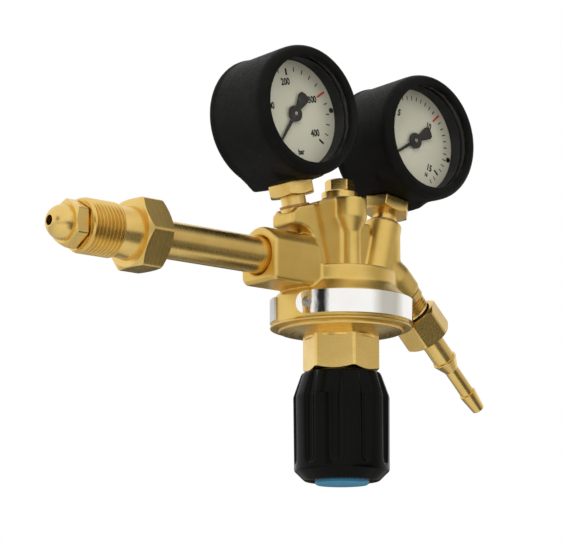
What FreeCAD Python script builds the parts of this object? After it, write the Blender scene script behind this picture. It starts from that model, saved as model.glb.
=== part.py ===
"""Gas cylinder pressure regulator with two booted gauges.

Millimetres, +Z up. Everything is drawn around the body's own axis, with the inlet
along -X at height 0, and is moved at the end so that the origin lies on the inlet
thread's axis, halfway along the thread. The dials face -Y.
"""
import FreeCAD
import Part
import math
import os

from FreeCAD import Vector

# Fits
RUN_FIT = 0.05          # radial gap of a shaft that turns or slides in its hole
LOOSE_FIT = 0.3         # radial gap between pieces that move past each other
SEAT_FIT = 0.05         # radial gap of a screwed or pushed-in piece
GUIDE_FIT = 0.08        # gap each side of the spring carrier in its guide

# Inlet: nipple, stem and nut
THREAD_R = 11.455       # G 5/8 external thread, major radius
THREAD_LEN = 17.0
THREAD_LEAD = 0.8       # bevel beyond the front of the thread
LEAD_DROP = 1.0         # how much smaller the lead is in radius
RELIEF_LEN = 8.1        # plain shank between thread and hexagon
RELIEF_DROP = 0.15
NUT_AF = 28.5
NUT_HEX_LEN = 12.5
NUT_BACK = 104.9        # body axis to the nut's back face
STEM_R = 8.0
STEM_BORE_R = 3.2
STEM_GROOVE = 0.9       # ring groove where the stem enters the body
STEM_DEPTH = 14.0       # length of stem screwed into the body
NOSE_R = 7.3            # ball nose radius
NOSE_HOLE_R = 2.15
NOSE_STEP = 0.5         # step behind the ball nose
NIPPLE_AF = 17.6
NIPPLE_HEX_LEN = 5.6
NIPPLE_GAP = 0.6        # stem showing between nut and nipple hexagon
NIPPLE_CORNER_R = 10.0   # turned radius over the hexagon's corners
NIPPLE_SPIGOT_R = 5.0
NIPPLE_SPIGOT_LEN = 9.0
FILTER_LEN = 8.0
FILTER_WALL = 0.8

# Inlet arm of the body
ARM_END = 48.0          # body axis to the arm's end face
ARM_HALF = 11.4         # half width between the flat sides
ARM_TOP_R = 12.6        # arched top, round the inlet axis
ARM_DROP = 12.0         # inlet axis down to the arm's flat underside
ARM_CORNER = 2.2        # cut off the lower corner at the back
ARM_NEAR_CORNER = 0.8   # and at the front
ARM_EDGE = 1.2
ARM_STOP = -0.3         # where its flat sides end, from the high-pressure stem's axis

# Body: drum, steps and trunk
DRUM_R = 30.2
DRUM_TOP = -14.2
LIP_R = 31.4
LIP_TOP = -26.0
LIP_BOTTOM = -27.2
LIP_GROOVE = 0.7
LIP_ROUND = 0.5
GROOVE_TOP = -25.2
SHOULDER_R = 24.8       # sloping shoulder, from this radius and height
SHOULDER_TOP = -9.2
SHOULDER_FOOT_R = 29.6  # down to this radius and height
SHOULDER_FOOT = -13.6
STEP_FOOT = -8.7
STEP_TOP_R = 24.4
STEP_TOP = -1.9
STEP_ROUND = 0.8
TRUNK_HALF_Y = 6.2
TRUNK_LEFT = 18.0
TRUNK_RIGHT = 6.0
TRUNK_TOP_LEFT = 27.3       # height of its sloping top at the left end
TRUNK_SLOPE = 17.0
RIGHT_WEB_HALF = 2.5        # thin web from the head to the low-pressure boss
RIGHT_WEB_LEN = 16.0
RIGHT_WEB_TOP = 22.0
HEAD_R = 8.4
HEAD_FRONT_R = 7.6          # round front and back of the head
HEAD_FRONT_Y = 6.4
HEAD_TOP = 30.5
HEAD_BOTTOM = 21.6
COLUMN_R = 4.2
COLUMN_Y = -7.4
COLUMN_TOP = 15.4

# Gauge arms of the body
TILT = 14.0             # lean of each gauge stem from the vertical, degrees
HUB_X = 36.3            # gauge centre from the body axis
HUB_Z = 62.3
ARM_FACE = 39.5         # gauge centre to the face of its arm, along the stem
HIGH_HALF = 8.6           # half width of the high-pressure arm's widest part
HIGH_RIDGE = 3.6          # from the stem's axis to the edge of its oblique front face
HIGH_RIGHT = 9.5
HIGH_RIGHT_HALF = 6.0
HIGH_SLANT = 0.4          # how fast the front face falls back toward the outer end
HIGH_OUT = 14.0
HIGH_LEFT = 33.9
HIGH_UNDER = 15.0
HIGH_CURVE_X = 31.0
HIGH_CURVE_R = 9.2
LOW_R = 8.3
LOW_WEB_R = 8.1
LOW_WEB_X = 25.8
LOW_WEB_TOP = 20.0
HIGH_BEVEL = 2.4         # taken off the outer top edge of the high-pressure boss
OUT_R = 9.6
ARM_ROUND = 2.0

# Outlet
OUT_ANGLE = 44.0        # below the horizontal, degrees
OUT_X = 28.9            # where the outlet axis crosses the inlet's height
OUT_FACE = 11.75         # from there to the boss's end face
G38_R = 8.33            # G 3/8 external thread, major radius
OUT_NIPPLE_LEN = 18.0
OUT_NIPPLE_IN = 8.5     # part of the nipple that is screwed into the body
OUT_COLLAR_R = 9.0
OUT_COLLAR_LEN = 3.0
UNION_AF = 20.0
UNION_LEN = 14.0
UNION_START = 10.2      # boss face to the union nut
UNION_WALL = 3.0        # end wall of the union nut
SHANK_R = 5.1
SHANK_LEN = 13.0        # union nut to the first barb
SHANK_LIP = 0.45
BARB_1_R = 5.8
BARB_1_LEN = 6.2
NECK_R = 3.3
NECK_LEN = 14.2
BARB_2_R = 3.95
BARB_2_LEN = 10.1
TIP_R = 2.9
TAIL_BORE_R = 1.9
TAIL_HEAD_R = 7.0
TAIL_HEAD_LEN = 3.2
SEAL_LEN = 1.5

# Valve, inside the body
CHAMBER_R = 6.0         # high-pressure chamber
CHAMBER_BOTTOM = 6.0
SEAT_R = 5.2
SEAT_LEN = 4.0
SEAT_HOLE_R = 1.6
POPPET_R = 4.4
POPPET_LEN = 7.0
POPPET_NOSE = 1.5
POPPET_STEP = 1.4
PIN_R = 1.1
POPPET_GUIDE_R = 1.2
POPPET_GUIDE_LEN = 3.0    # part of the guide inside the plug
VALVE_LIFT = 0.8
PASSAGE_R = 1.6
VALVE_WIRE = 0.8
VALVE_COIL_R = 2.3      # to the middle of the wire
VALVE_TURNS = 4
PLUG_FLANGE_R = 8.2
PLUG_FLANGE_LEN = 3.3
PLUG_HEX_AF = 11.8
PLUG_HEX_LEN = 5.4
PLUG_SPIGOT_LEN = 10.0
PLUG_SEAL_R = 7.4
PLUG_SEAL_LEN = 0.8
PLUG_SPRING_HOLE_R = 3.3
PLUG_SPRING_HOLE_LEN = 5.0

# Diaphragm
DIAPHRAGM_R = 26.8
DIAPHRAGM_THICK = 1.0
DIAPHRAGM_TOP = -20.0
LOW_CHAMBER_R = 22.0
LOW_CHAMBER_TOP = -17.0
BUTTON_R = 8.0
BUTTON_THICK = 1.4
PLATE_R = 13.0
PLATE_THICK = 1.6
PLATE_PILOT_R = 5.4
PLATE_PILOT_LEN = 2.4
SLIP_INNER_R = 21.0
SLIP_THICK = 1.0

# Bonnet
BONNET_R = 27.6
BONNET_BOTTOM = -28.5
CONE_BOTTOM = -30.8
BONNET_AF = 30.0
BONNET_HEX_BOTTOM = -46.2
BONNET_HEX_TURN = 7.0
BONNET_CORNER_R = 16.9
BONNET_MOUTH_R = 20.0
BONNET_MOUTH_BOTTOM = -27.5
SPRING_HOUSE_R = 12.2
GUIDE_TOP = -47.0
GUIDE_AF = 20.0
BONNET_NECK_R = 13.4
NECK_BOTTOM = -66.0
NECK_WALL = 4.0

# Adjusting screw, spring carrier and main spring
SCREW_R = 5.0
SCREW_TOP = -44.0
SCREW_COLLAR_R = 7.5
SCREW_COLLAR_LEN = 1.6
SCREW_PITCH = 1.5
KNOB_TURNS = 5
CARRIER_LEN = 9.0
CLIP_R = 7.0
CLIP_THICK = 1.0
CLIP_GAP = 0.1
DRIVE_AF = 8.0
DRIVE_LEN = 13.0
SPRING_WIRE = 3.0
SPRING_COIL_R = 8.1     # to the middle of the wire
SPRING_END_GAP = 0.15   # square wire needs a little room where it starts and ends
SPRING_TURNS = 5

# Knob
KNOB_TOP = -46.5
KNOB_TOP_R = 17.35
KNOB_SHOULDER = -57.3
KNOB_R = 21.1
KNOB_FOOT = -89.5
KNOB_FOOT_R = 20.8
KNOB_BOTTOM = -94.0
KNOB_BOTTOM_R = 16.2
KNOB_WALL = 2.6
KNOB_FLUTES = 10
FLUTE_R = 3.3
FLUTE_AXIS = 22.6        # distance of the cutter from the knob axis, along the straight part
FLUTE_TOP_AXIS = 20.0    # and at the top
FLUTE_END = -84.5
FLUTE_TURN = 222.0      # direction of one flute, degrees from +X
KNOB_HUB_R = 8.5
KNOB_FLOOR = 3.0
CAP_R = 11.8
CAP_OUT = 2.0
CAP_DOME = 0.5
CAP_DEPTH = 4.0

# Plates on the drum
SIGN_THICK = 1.5
SIGN_TOP = -14.5
SIGN_BOTTOM = -24.5
SIGN_SPAN = 160.0
LABEL_THICK = 1.0
LABEL_SPAN = 139.0
RIVET_R = 2.3
RIVET_HEAD = 0.7
RIVET_EDGE = 0.15
RIVET_PIN_R = 1.2
RIVET_PIN_LEN = 2.0
RIVET_IN = 10.0         # degrees from the plate's end to its rivet

# Gauge, around its own centre, with the stem pointing down
CASE_R = 25.6
CASE_FRONT = -18.6
CASE_BACK = 12.2
CASE_WALL = 1.0
BOOT_FIT = 0.1
BOOT_FRONT_WALL = 4.1   # in front of the case, and behind it
BOOT_BACK_WALL = 3.1
BOOT_RIM_WALL = 3.0     # around the case at the front, and at the rear
BOOT_REAR_WALL = 2.3
BOOT_LAP = 2.3          # how far the rim covers the case's edge
BOOT_FRONT = CASE_FRONT - BOOT_FRONT_WALL
BOOT_BACK = CASE_BACK + BOOT_BACK_WALL
BOOT_OPEN_R = CASE_R - BOOT_LAP
BOOT_RIM_R = CASE_R + BOOT_FIT + BOOT_RIM_WALL
BOOT_RIM_ROUND = 4.0
BOOT_REAR_R = CASE_R + BOOT_FIT + BOOT_REAR_WALL
BOOT_REAR_ROUND = 4.0
BOOT_BEAD = 0.7
BOOT_BEAD_START = 9.8
BOOT_BEAD_END = 13.2
BOOT_SKIRT_WALL = 4.2   # below the case, at the skirt's back
BOOT_SKIRT = CASE_R + BOOT_SKIRT_WALL
BOOT_SKIRT_RISE = 1.6   # how much higher the end is at its front
BOOT_SKIRT_HALF = 11.0
BOOT_SKIRT_FRONT = -8.0
BOOT_SKIRT_BACK = 12.6
BOOT_HEX_FIT = 0.2
BOOT_BACK_OPEN_R = 17.0
CHIN_BACK = 6.0         # the skirt fades into the rim this far behind the front
CHIN_NARROW = 0.75
CHIN_SHORT = 0.88
WINDOW_THICK = 2.0
WINDOW_FRONT = -18.4
SPACER_WALL = 0.65
DIAL_FACE = -10.4
DIAL_THICK = 0.8
DIAL_HOLE_R = 1.8
POINTER_FACE = -11.9
POINTER_THICK = 0.6
POINTER_HUB_R = 3.6
POINTER_LEN = 18.5
POINTER_WIDE = 1.5
POINTER_NARROW = 0.7
POINTER_TAIL = 11.2
POINTER_TAIL_WIDE = 2.9
POINTER_TAIL_NARROW = 1.3
POINTER_SWEEP = 270.0
POINTER_REST = 225.0    # direction of the zero mark, degrees from +X, seen from the front
ARBOR_R = 0.9
PINION_R = 1.5
PINION_LEN = 1.6
MOVEMENT_HALF = 9.0
MOVEMENT_PLATE = 0.8
MOVEMENT_FRONT = -8.6
MOVEMENT_BACK = -2.6
PILLAR_R = 1.2
SECTOR_TEETH_R = 9.0
SECTOR_MESH_GAP = 0.1
SECTOR_THICK = 0.8
SECTOR_HALF_ANGLE = 27.0
BOURDON_R = 17.5
BOURDON_HALF_DEPTH = 3.4
BOURDON_HALF_THICK = 1.0
BOURDON_SWEEP = 235.0
STEM_HEX_AF = 19.0
STEM_HEX_TOP = 29.0
STEM_HEX_BOTTOM = 34.6
STEM_HEX_TURN = 45.0
STEM_NECK_R = 5.5
STEM_WASHER_R = 6.6
STEM_WASHER_LEN = 1.0
STEM_THREAD_R = 6.58    # G 1/4 external thread, major radius
STEM_THREAD_LEN = 11.0
STEM_SHANK_R = 6.5
SOCKET_HALF_X = 7.0
SOCKET_TOP = 14.5
SOCKET_LAP = 4.0
SOCKET_BACK = 8.0
STEM_SLOT = 0.2

# Places that follow
NUT_LEN = THREAD_LEAD + THREAD_LEN + RELIEF_LEN + NUT_HEX_LEN
NUT_FRONT = NUT_BACK + NUT_LEN
REACH = NUT_BACK + NUT_HEX_LEN + RELIEF_LEN + THREAD_LEN / 2
NIPPLE_BACK = NUT_FRONT + NIPPLE_GAP
OUT_DIR = Vector(math.cos(math.radians(OUT_ANGLE)), 0, -math.sin(math.radians(OUT_ANGLE)))
DIAPHRAGM_BOTTOM = DIAPHRAGM_TOP - DIAPHRAGM_THICK
SLIP_BOTTOM = DIAPHRAGM_BOTTOM - SLIP_THICK
SEAT_TOP = CHAMBER_BOTTOM + 0.6
SEAT_BOTTOM = SEAT_TOP - SEAT_LEN
PLUG_BOTTOM = HEAD_TOP - PLUG_SPIGOT_LEN
COLLAR_BOTTOM = NECK_BOTTOM + NECK_WALL
CARRIER_BOTTOM = COLLAR_BOTTOM + SCREW_COLLAR_LEN + CLIP_GAP
CARRIER_TOP = CARRIER_BOTTOM + CARRIER_LEN
CLIP_TOP = NECK_BOTTOM - CLIP_GAP
DRIVE_TOP = CLIP_TOP - CLIP_THICK
DRIVE_BOTTOM = DRIVE_TOP - DRIVE_LEN
PLATE_BOTTOM = DIAPHRAGM_BOTTOM - PLATE_THICK
TILT_RAD = math.radians(TILT)
HIGH_EDGE_RUN = HIGH_LEFT - HUB_X + ARM_FACE * math.sin(TILT_RAD)
HIGH_EDGE_TOP = HUB_Z - ARM_FACE * math.cos(TILT_RAD) - HIGH_EDGE_RUN * math.tan(TILT_RAD)
SECTOR_PIVOT = -(SECTOR_TEETH_R + PINION_R + SECTOR_MESH_GAP)

made = {}


def keep(name, shape):
    """Store one sub-part under its node name."""
    if isinstance(shape, list):
        shape = Part.makeCompound(shape)
    made[name] = shape


def turned(points, start=Vector(0, 0, 0), axis=Vector(0, 0, 1), angle=360):
    """Revolve a closed outline of (radius, height) points about an axis.

    A point may be a pair of points, the middle and the end of an arc.
    """
    edges = []
    here = Vector(points[0][0], 0, points[0][1])
    first = here
    for item in list(points[1:]) + [points[0]]:
        if isinstance(item[0], tuple):
            mid = Vector(item[0][0], 0, item[0][1])
            end = Vector(item[1][0], 0, item[1][1])
            edges.append(Part.Arc(here, mid, end).toShape())
        else:
            end = Vector(item[0], 0, item[1])
            if end.distanceToPoint(here) < 1e-7:
                continue
            edges.append(Part.makeLine(here, end))
        here = end
    face = Part.Face(Part.Wire(edges))
    solid = face.revolve(Vector(0, 0, 0), Vector(0, 0, 1), angle)
    return laid(solid, start, axis)


def laid(shape, start, axis):
    """Turn a shape drawn along +Z onto another axis and move it to its start."""
    turn = FreeCAD.Rotation(Vector(0, 0, 1), axis)
    out = shape.copy()
    out.Placement = FreeCAD.Placement(start, turn).multiply(out.Placement)
    return out


def rod(radius, low, high, start=Vector(0, 0, 0), axis=Vector(0, 0, 1)):
    """Plain cylinder between two heights on an axis."""
    solid = Part.makeCylinder(radius, high - low, Vector(0, 0, low))
    return laid(solid, start, axis)


def tube(outer, inner, low, high, start=Vector(0, 0, 0), axis=Vector(0, 0, 1)):
    """Cylinder with a bore."""
    return rod(outer, low, high, start, axis).cut(rod(inner, low - 1, high + 1, start, axis))


def block(x0, x1, y0, y1, z0, z1):
    """Box between two corners."""
    return Part.makeBox(x1 - x0, y1 - y0, z1 - z0, Vector(x0, y0, z0))


def prism(points, low, high):
    """Upright prism on a closed polygon of (x, y) points."""
    corners = [Vector(x, y, low) for x, y in points]
    face = Part.Face(Part.makePolygon(corners + corners[:1]))
    return face.extrude(Vector(0, 0, high - low))


def hexagon(across, low, high, turn=0.0):
    """Upright hexagonal prism; turn is the direction of one corner in degrees."""
    radius = across / math.sqrt(3)
    ring = [math.radians(turn + 60 * i) for i in range(6)]
    return prism([(radius * math.cos(a), radius * math.sin(a)) for a in ring], low, high)


def hex_turned(across, low, high, corner, turn=0.0, ends=(True, True)):
    """Hexagon whose corners are turned away at 30 degrees at the chosen ends."""
    apothem = across / 2
    drop = (corner - apothem + 0.4) * math.tan(math.radians(30))
    bottom = [(apothem - 0.4, low), (corner, low + drop)] if ends[0] else [(corner, low)]
    top = [(corner, high - drop), (apothem - 0.4, high)] if ends[1] else [(corner, high)]
    cutter = turned([(0, low)] + bottom + top + [(0, high)])
    return hexagon(across, low, high, turn).common(cutter)


def polar(radius, angle, height=0.0):
    """Point at a radius and an angle in degrees."""
    a = math.radians(angle)
    return Vector(radius * math.cos(a), radius * math.sin(a), height)


def spring(coil_r, wire_r, low, high, turns, name):
    """One unbroken coil of square wire on half-turn arcs; its least gap to itself is measured."""
    steps = 2 * turns
    rise = (high - low - 2 * wire_r) / steps
    z0 = low + wire_r
    edges = []
    for i in range(steps):
        a = polar(coil_r, 180 * i, z0 + rise * i)
        b = polar(coil_r, 180 * (i + 1), z0 + rise * (i + 1))
        m = polar(coil_r, 180 * i + 90, z0 + rise * (i + 0.5))
        edges.append(Part.Arc(a, m, b).toShape())
    path = Part.Wire(edges)
    inner, outer = coil_r - wire_r, coil_r + wire_r
    ring = Part.makePolygon([Vector(inner, 0, z0 - wire_r), Vector(outer, 0, z0 - wire_r),
                             Vector(outer, 0, z0 + wire_r), Vector(inner, 0, z0 + wire_r),
                             Vector(inner, 0, z0 - wire_r)])
    coil = path.makePipeShell([ring], True, False)
    points = [p for edge in edges for p in edge.discretize(25)[:-1]]
    least = min(points[i].distanceToPoint(points[j])
                for i in range(len(points)) for j in range(i + 24, len(points)))
    print(name, "least gap to itself %.2f mm" % (least - 2 * wire_r))
    return coil


def fused(parts):
    """One clean solid from a list of overlapping ones."""
    whole = parts[0].multiFuse(parts[1:])
    return whole.removeSplitter()


def gauge_place(shape, side):
    """Move a shape drawn around the gauge's centre to its place; side is -1 or 1."""
    out = shape.copy()
    turn = FreeCAD.Rotation(Vector(0, 1, 0), side * TILT)
    spot = Vector(side * HUB_X, 0, HUB_Z)
    out.Placement = FreeCAD.Placement(spot, turn).multiply(out.Placement)
    return out


# Body

def drum():
    """Round lower part of the forging, with its step, shoulder, lip and groove."""
    r = STEP_ROUND
    k = r * (1 - math.sqrt(0.5))
    return turned([
        (0, STEP_TOP), (STEP_TOP_R - r, STEP_TOP),
        ((STEP_TOP_R - k, STEP_TOP - k), (STEP_TOP_R, STEP_TOP - r)),
        (STEP_TOP_R, STEP_FOOT), (SHOULDER_R, SHOULDER_TOP), (SHOULDER_FOOT_R, SHOULDER_FOOT),
        (DRUM_R, DRUM_TOP), (DRUM_R, GROOVE_TOP), (DRUM_R - LIP_GROOVE, GROOVE_TOP - LIP_GROOVE / 2),
        (DRUM_R, GROOVE_TOP - LIP_GROOVE), (LIP_R - LIP_ROUND, LIP_TOP), (LIP_R, LIP_TOP - LIP_ROUND),
        ((LIP_R - LIP_ROUND * 0.3, LIP_BOTTOM + LIP_ROUND * 0.3), (LIP_R - LIP_ROUND, LIP_BOTTOM)),
        (0, LIP_BOTTOM)])


def arm_outline(x, inset):
    """Closed outline of the inlet arm at one place, drawn in by an inset."""
    h, low, r = ARM_HALF - inset, inset - ARM_DROP, ARM_TOP_R - inset
    c, n = ARM_CORNER, ARM_NEAR_CORNER
    side = math.sqrt(r ** 2 - h ** 2)
    foot = [(h, side), (h, low + c), (h - c, low), (n - h, low), (-h, low + n), (-h, side)]
    foot = [Vector(x, y, z) for y, z in foot]
    lines = [Part.makeLine(foot[i], foot[i + 1]) for i in range(5)]
    return Part.Wire(lines + [Part.Arc(foot[5], Vector(x, 0, r), foot[0]).toShape()])


def inlet_arm():
    """Arm with an arched top, flat sides and a bevelled end for the inlet stem."""
    shoulder = -ARM_END + ARM_EDGE
    arm = Part.Face(arm_outline(shoulder, 0)).extrude(Vector(-shoulder, 0, 0))
    end = Part.makeLoft([arm_outline(shoulder, 0), arm_outline(-ARM_END, ARM_EDGE)], True, True)
    return arm.fuse(end)


def high_arm():
    """Leaning boss under the high-pressure gauge, with oblique faces, hollowed below its overhang."""
    tip = HIGH_HALF - HIGH_SLANT * (HIGH_RIDGE + HIGH_OUT)
    front = [(-HIGH_OUT, -tip), (HIGH_RIDGE, -HIGH_HALF), (HIGH_RIGHT, -HIGH_RIGHT_HALF)]
    rear = [(x, -y) for x, y in reversed(front)]
    arm = gauge_place(prism(front + rear, -HUB_Z - 4, -ARM_FACE), -1)
    arm = arm.cut(block(-HIGH_LEFT - 20, -HIGH_LEFT, -20, 20, -20, 60))
    bevel = block(-20, 0, -20, 20, 0, 20)
    bevel.rotate(Vector(0, 0, 0), Vector(0, 1, 0), -45)
    bevel.translate(Vector(-HIGH_LEFT + HIGH_BEVEL, 0, HIGH_EDGE_TOP))
    arm = arm.cut(bevel)
    centre = Vector(-HIGH_CURVE_X, -30, HIGH_UNDER - HIGH_CURVE_R)
    hollow = Part.makeCylinder(HIGH_CURVE_R, 60, centre, Vector(0, 1, 0))
    side = block(-HIGH_LEFT - 20, -HIGH_CURVE_X, -30, 30, -30, HIGH_UNDER)
    under = block(-HIGH_LEFT - 20, -HIGH_CURVE_X + HIGH_CURVE_R, -30, 30, -30, HIGH_UNDER - HIGH_CURVE_R)
    arm = arm.cut(hollow).cut(side).cut(under)
    return arm


def low_arm():
    """Round boss under the low-pressure gauge, with an upright web on its outer side."""
    lean = gauge_place(rod(LOW_R, -HUB_Z - 4, -ARM_FACE), 1)
    web = rod(LOW_WEB_R, -10, LOW_WEB_TOP, Vector(LOW_WEB_X, 0, 0))
    above = gauge_place(block(-60, 60, -60, 60, -ARM_FACE, 60), 1)
    return fused([lean, web.cut(above)])


def outlet_arm():
    """Round boss that carries the outlet nipple, pointing down and outward."""
    start = Vector(OUT_X, 0, 0)
    edge = 0.8
    return turned([(0, -9), (7.6, -9), (OUT_R, 1.5), (OUT_R, OUT_FACE - edge), (OUT_R - edge, OUT_FACE),
                   (0, OUT_FACE)], start, OUT_DIR)


def head():
    """Upright block under the plug, round at front and back."""
    front = rod(HEAD_FRONT_R, HEAD_BOTTOM, HEAD_TOP, Vector(0, -HEAD_FRONT_Y, 0))
    back = rod(HEAD_FRONT_R, HEAD_BOTTOM, HEAD_TOP, Vector(0, HEAD_FRONT_Y, 0))
    middle = block(-HEAD_FRONT_R, HEAD_FRONT_R, -HEAD_FRONT_Y, HEAD_FRONT_Y, HEAD_BOTTOM, HEAD_TOP)
    core = rod(HEAD_R, STEP_TOP - 4, HEAD_TOP)
    return fused([front, back, middle, core])


def trunk():
    """Flat web that joins the head to both gauge bosses."""
    whole = block(-TRUNK_LEFT, TRUNK_RIGHT, -TRUNK_HALF_Y, TRUNK_HALF_Y, STEP_TOP - 4, HEAD_TOP)
    above = block(-20, 60, -20, 20, 0, 40)
    above.rotate(Vector(0, 0, 0), Vector(0, 1, 0), -TRUNK_SLOPE)
    above.translate(Vector(-TRUNK_LEFT, 0, TRUNK_TOP_LEFT))
    outside = gauge_place(block(-60, -HIGH_HALF, -60, 60, -120, -20), -1)
    right = block(0, RIGHT_WEB_LEN, -RIGHT_WEB_HALF, RIGHT_WEB_HALF, STEP_TOP - 4, RIGHT_WEB_TOP)
    return whole.cut(above).cut(outside).fuse(right)


def body():
    """The forging with its bores and passages."""
    bars = []
    for side in (-1, 1):
        low_ring = Part.Wire(Part.makeCircle(COLUMN_R, Vector(0, side * -COLUMN_Y, COLUMN_TOP)))
        high_ring = Part.Wire(Part.makeCircle(HEAD_FRONT_R, Vector(0, side * HEAD_FRONT_Y, HEAD_BOTTOM)))
        bars.append(Part.makeLoft([low_ring, high_ring], True))
        bars.append(rod(COLUMN_R, STEP_TOP - 4, COLUMN_TOP, Vector(0, side * -COLUMN_Y, 0)))
    arm = inlet_arm()
    for side in (-1, 1):
        for along, width in ((ARM_STOP, HIGH_HALF), (HIGH_RIDGE + 1, TRUNK_HALF_Y)):
            beyond = block(along, 60, width, 30, -90, -20)
            if side < 0:
                beyond = block(along, 60, -30, -width, -90, -20)
            arm = arm.cut(gauge_place(beyond, -1))
    solid = fused([drum(), trunk(), head(), arm, high_arm(), low_arm(), outlet_arm()] + bars)
    # Diaphragm chamber and the bonnet's thread
    solid = solid.cut(rod(BONNET_R + SEAT_FIT, LIP_BOTTOM - 1, DIAPHRAGM_TOP))
    solid = solid.cut(rod(LOW_CHAMBER_R, DIAPHRAGM_TOP - 1, LOW_CHAMBER_TOP))
    # Valve chamber, seat pocket and pin hole
    solid = solid.cut(rod(CHAMBER_R, CHAMBER_BOTTOM, HEAD_TOP + 1))
    solid = solid.cut(rod(SEAT_R + SEAT_FIT, SEAT_BOTTOM, CHAMBER_BOTTOM + 1))
    solid = solid.cut(rod(SEAT_HOLE_R, LOW_CHAMBER_TOP - 1, SEAT_BOTTOM + 1))
    # Inlet bore and stem groove
    west = Vector(-1, 0, 0)
    zero = Vector(0, 0, 0)
    solid = solid.cut(rod(STEM_R + SEAT_FIT, ARM_END - STEM_DEPTH, ARM_END + 1, zero, west))
    solid = solid.cut(tube(STEM_R + STEM_GROOVE, STEM_R - 1, ARM_END - STEM_GROOVE, ARM_END + 1, zero, west))
    solid = solid.cut(rod(PASSAGE_R, 0, ARM_END - STEM_DEPTH + 1, Vector(0, 0, CHAMBER_BOTTOM + 4), west)
                      .common(block(-40, -CHAMBER_R + 1, -5, 5, 0, 20)))
    # Gauge ports and their passages
    for side in (-1, 1):
        port = rod(STEM_THREAD_R + SEAT_FIT, -ARM_FACE - STEM_THREAD_LEN - 1, -ARM_FACE + 1)
        feed = rod(PASSAGE_R, -ARM_FACE - STEM_THREAD_LEN - 12, -ARM_FACE - STEM_THREAD_LEN)
        solid = solid.cut(gauge_place(port.fuse(feed), side))
    # Outlet bore
    start = Vector(OUT_X, 0, 0)
    solid = solid.cut(rod(G38_R - 1.6 + SEAT_FIT, OUT_FACE - OUT_NIPPLE_IN, OUT_FACE + 1, start, OUT_DIR))
    solid = solid.cut(rod(PASSAGE_R * 1.5, -6, OUT_FACE, start, OUT_DIR))
    return rivet_holes(solid, SIGN_THICK, SIGN_SPAN, 270)


# Inlet

def inlet_stem():
    """Tube between the body and the nipple."""
    west = Vector(-1, 0, 0)
    solid = tube(STEM_R, STEM_BORE_R, ARM_END - STEM_DEPTH, NIPPLE_BACK, Vector(0, 0, 0), west)
    pocket = rod(NIPPLE_SPIGOT_R + SEAT_FIT, NIPPLE_BACK - NIPPLE_SPIGOT_LEN, NIPPLE_BACK + 1,
                 Vector(0, 0, 0), west)
    return solid.cut(pocket)


def inlet_nut():
    """Union nut with an external thread, free to turn on the stem."""
    west = Vector(-1, 0, 0)
    hex_front = NUT_BACK + NUT_HEX_LEN
    corner = NUT_AF / math.sqrt(3)
    hexa = hex_turned(NUT_AF, NUT_BACK, hex_front, corner - 0.3, 90.0)
    neck_r = THREAD_R - RELIEF_DROP
    thread_start = hex_front + RELIEF_LEN
    thread_end = thread_start + THREAD_LEN
    shank = turned([
        (0, NUT_BACK), (neck_r, NUT_BACK), (neck_r, thread_start), (THREAD_R - 0.6, thread_start),
        (THREAD_R, thread_start + 0.6), (THREAD_R, thread_end - 0.8),
        (THREAD_R - LEAD_DROP, NUT_FRONT), (0, NUT_FRONT)])
    solid = hexa.fuse(shank)
    solid = solid.cut(rod(STEM_R + RUN_FIT, NUT_BACK - 1, NUT_FRONT + 1))
    solid = solid.removeSplitter()
    return laid(solid, Vector(0, 0, 0), west)


def inlet_nipple():
    """Ball-nosed nipple with a small hexagon, screwed into the stem."""
    west = Vector(-1, 0, 0)
    back = NIPPLE_BACK
    front = back + NIPPLE_HEX_LEN
    hexa = hex_turned(NIPPLE_AF, back, front, NIPPLE_CORNER_R, 0.0, (False, True))
    centre = front + NOSE_STEP
    a = math.radians(45)
    flat = math.sqrt(NOSE_R ** 2 - (NOSE_HOLE_R + 0.5) ** 2)
    nose = turned([
        (0, front - 1), (NOSE_R + 0.6, front - 1), (NOSE_R + 0.6, front + NOSE_STEP * 0.5),
        (NOSE_R, front + NOSE_STEP * 0.5), (NOSE_R, centre),
        ((NOSE_R * math.cos(a), centre + NOSE_R * math.sin(a)), (NOSE_HOLE_R + 0.5, centre + flat)),
        (0, centre + flat)])
    spigot = rod(NIPPLE_SPIGOT_R, back - NIPPLE_SPIGOT_LEN + 0.5, back + 1)
    solid = hexa.fuse(nose).fuse(spigot)
    solid = solid.cut(rod(NOSE_HOLE_R, back - 20, centre + NOSE_R + 5))
    pocket = rod(NIPPLE_SPIGOT_R - FILTER_WALL, back - NIPPLE_SPIGOT_LEN, back - NIPPLE_SPIGOT_LEN + 3)
    return laid(solid.cut(pocket).removeSplitter(), Vector(0, 0, 0), west)


def inlet_filter():
    """Sintered filter cup that stands in the stem behind the nipple."""
    west = Vector(-1, 0, 0)
    top = NIPPLE_BACK - NIPPLE_SPIGOT_LEN
    outer = STEM_BORE_R - SEAT_FIT
    cup = rod(outer, top - FILTER_LEN, top)
    hole = rod(outer - FILTER_WALL, top - FILTER_LEN + FILTER_WALL, top + 1)
    return laid(cup.cut(hole), Vector(0, 0, 0), west)


# Outlet

def outlet_nipple():
    """Nipple screwed into the outlet boss, with the union nut's thread."""
    inner_r = G38_R - 1.6
    end = OUT_FACE - OUT_NIPPLE_IN + OUT_NIPPLE_LEN
    solid = turned([
        (TAIL_BORE_R, OUT_FACE - OUT_NIPPLE_IN), (inner_r, OUT_FACE - OUT_NIPPLE_IN), (inner_r, OUT_FACE),
        (OUT_COLLAR_R, OUT_FACE), (OUT_COLLAR_R, OUT_FACE + OUT_COLLAR_LEN),
        (G38_R - 0.8, OUT_FACE + OUT_COLLAR_LEN), (G38_R, OUT_FACE + OUT_COLLAR_LEN + 0.8),
        (G38_R, end - 0.8), (G38_R - 0.8, end), (TAIL_BORE_R, end)], Vector(OUT_X, 0, 0), OUT_DIR)
    return solid


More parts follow.
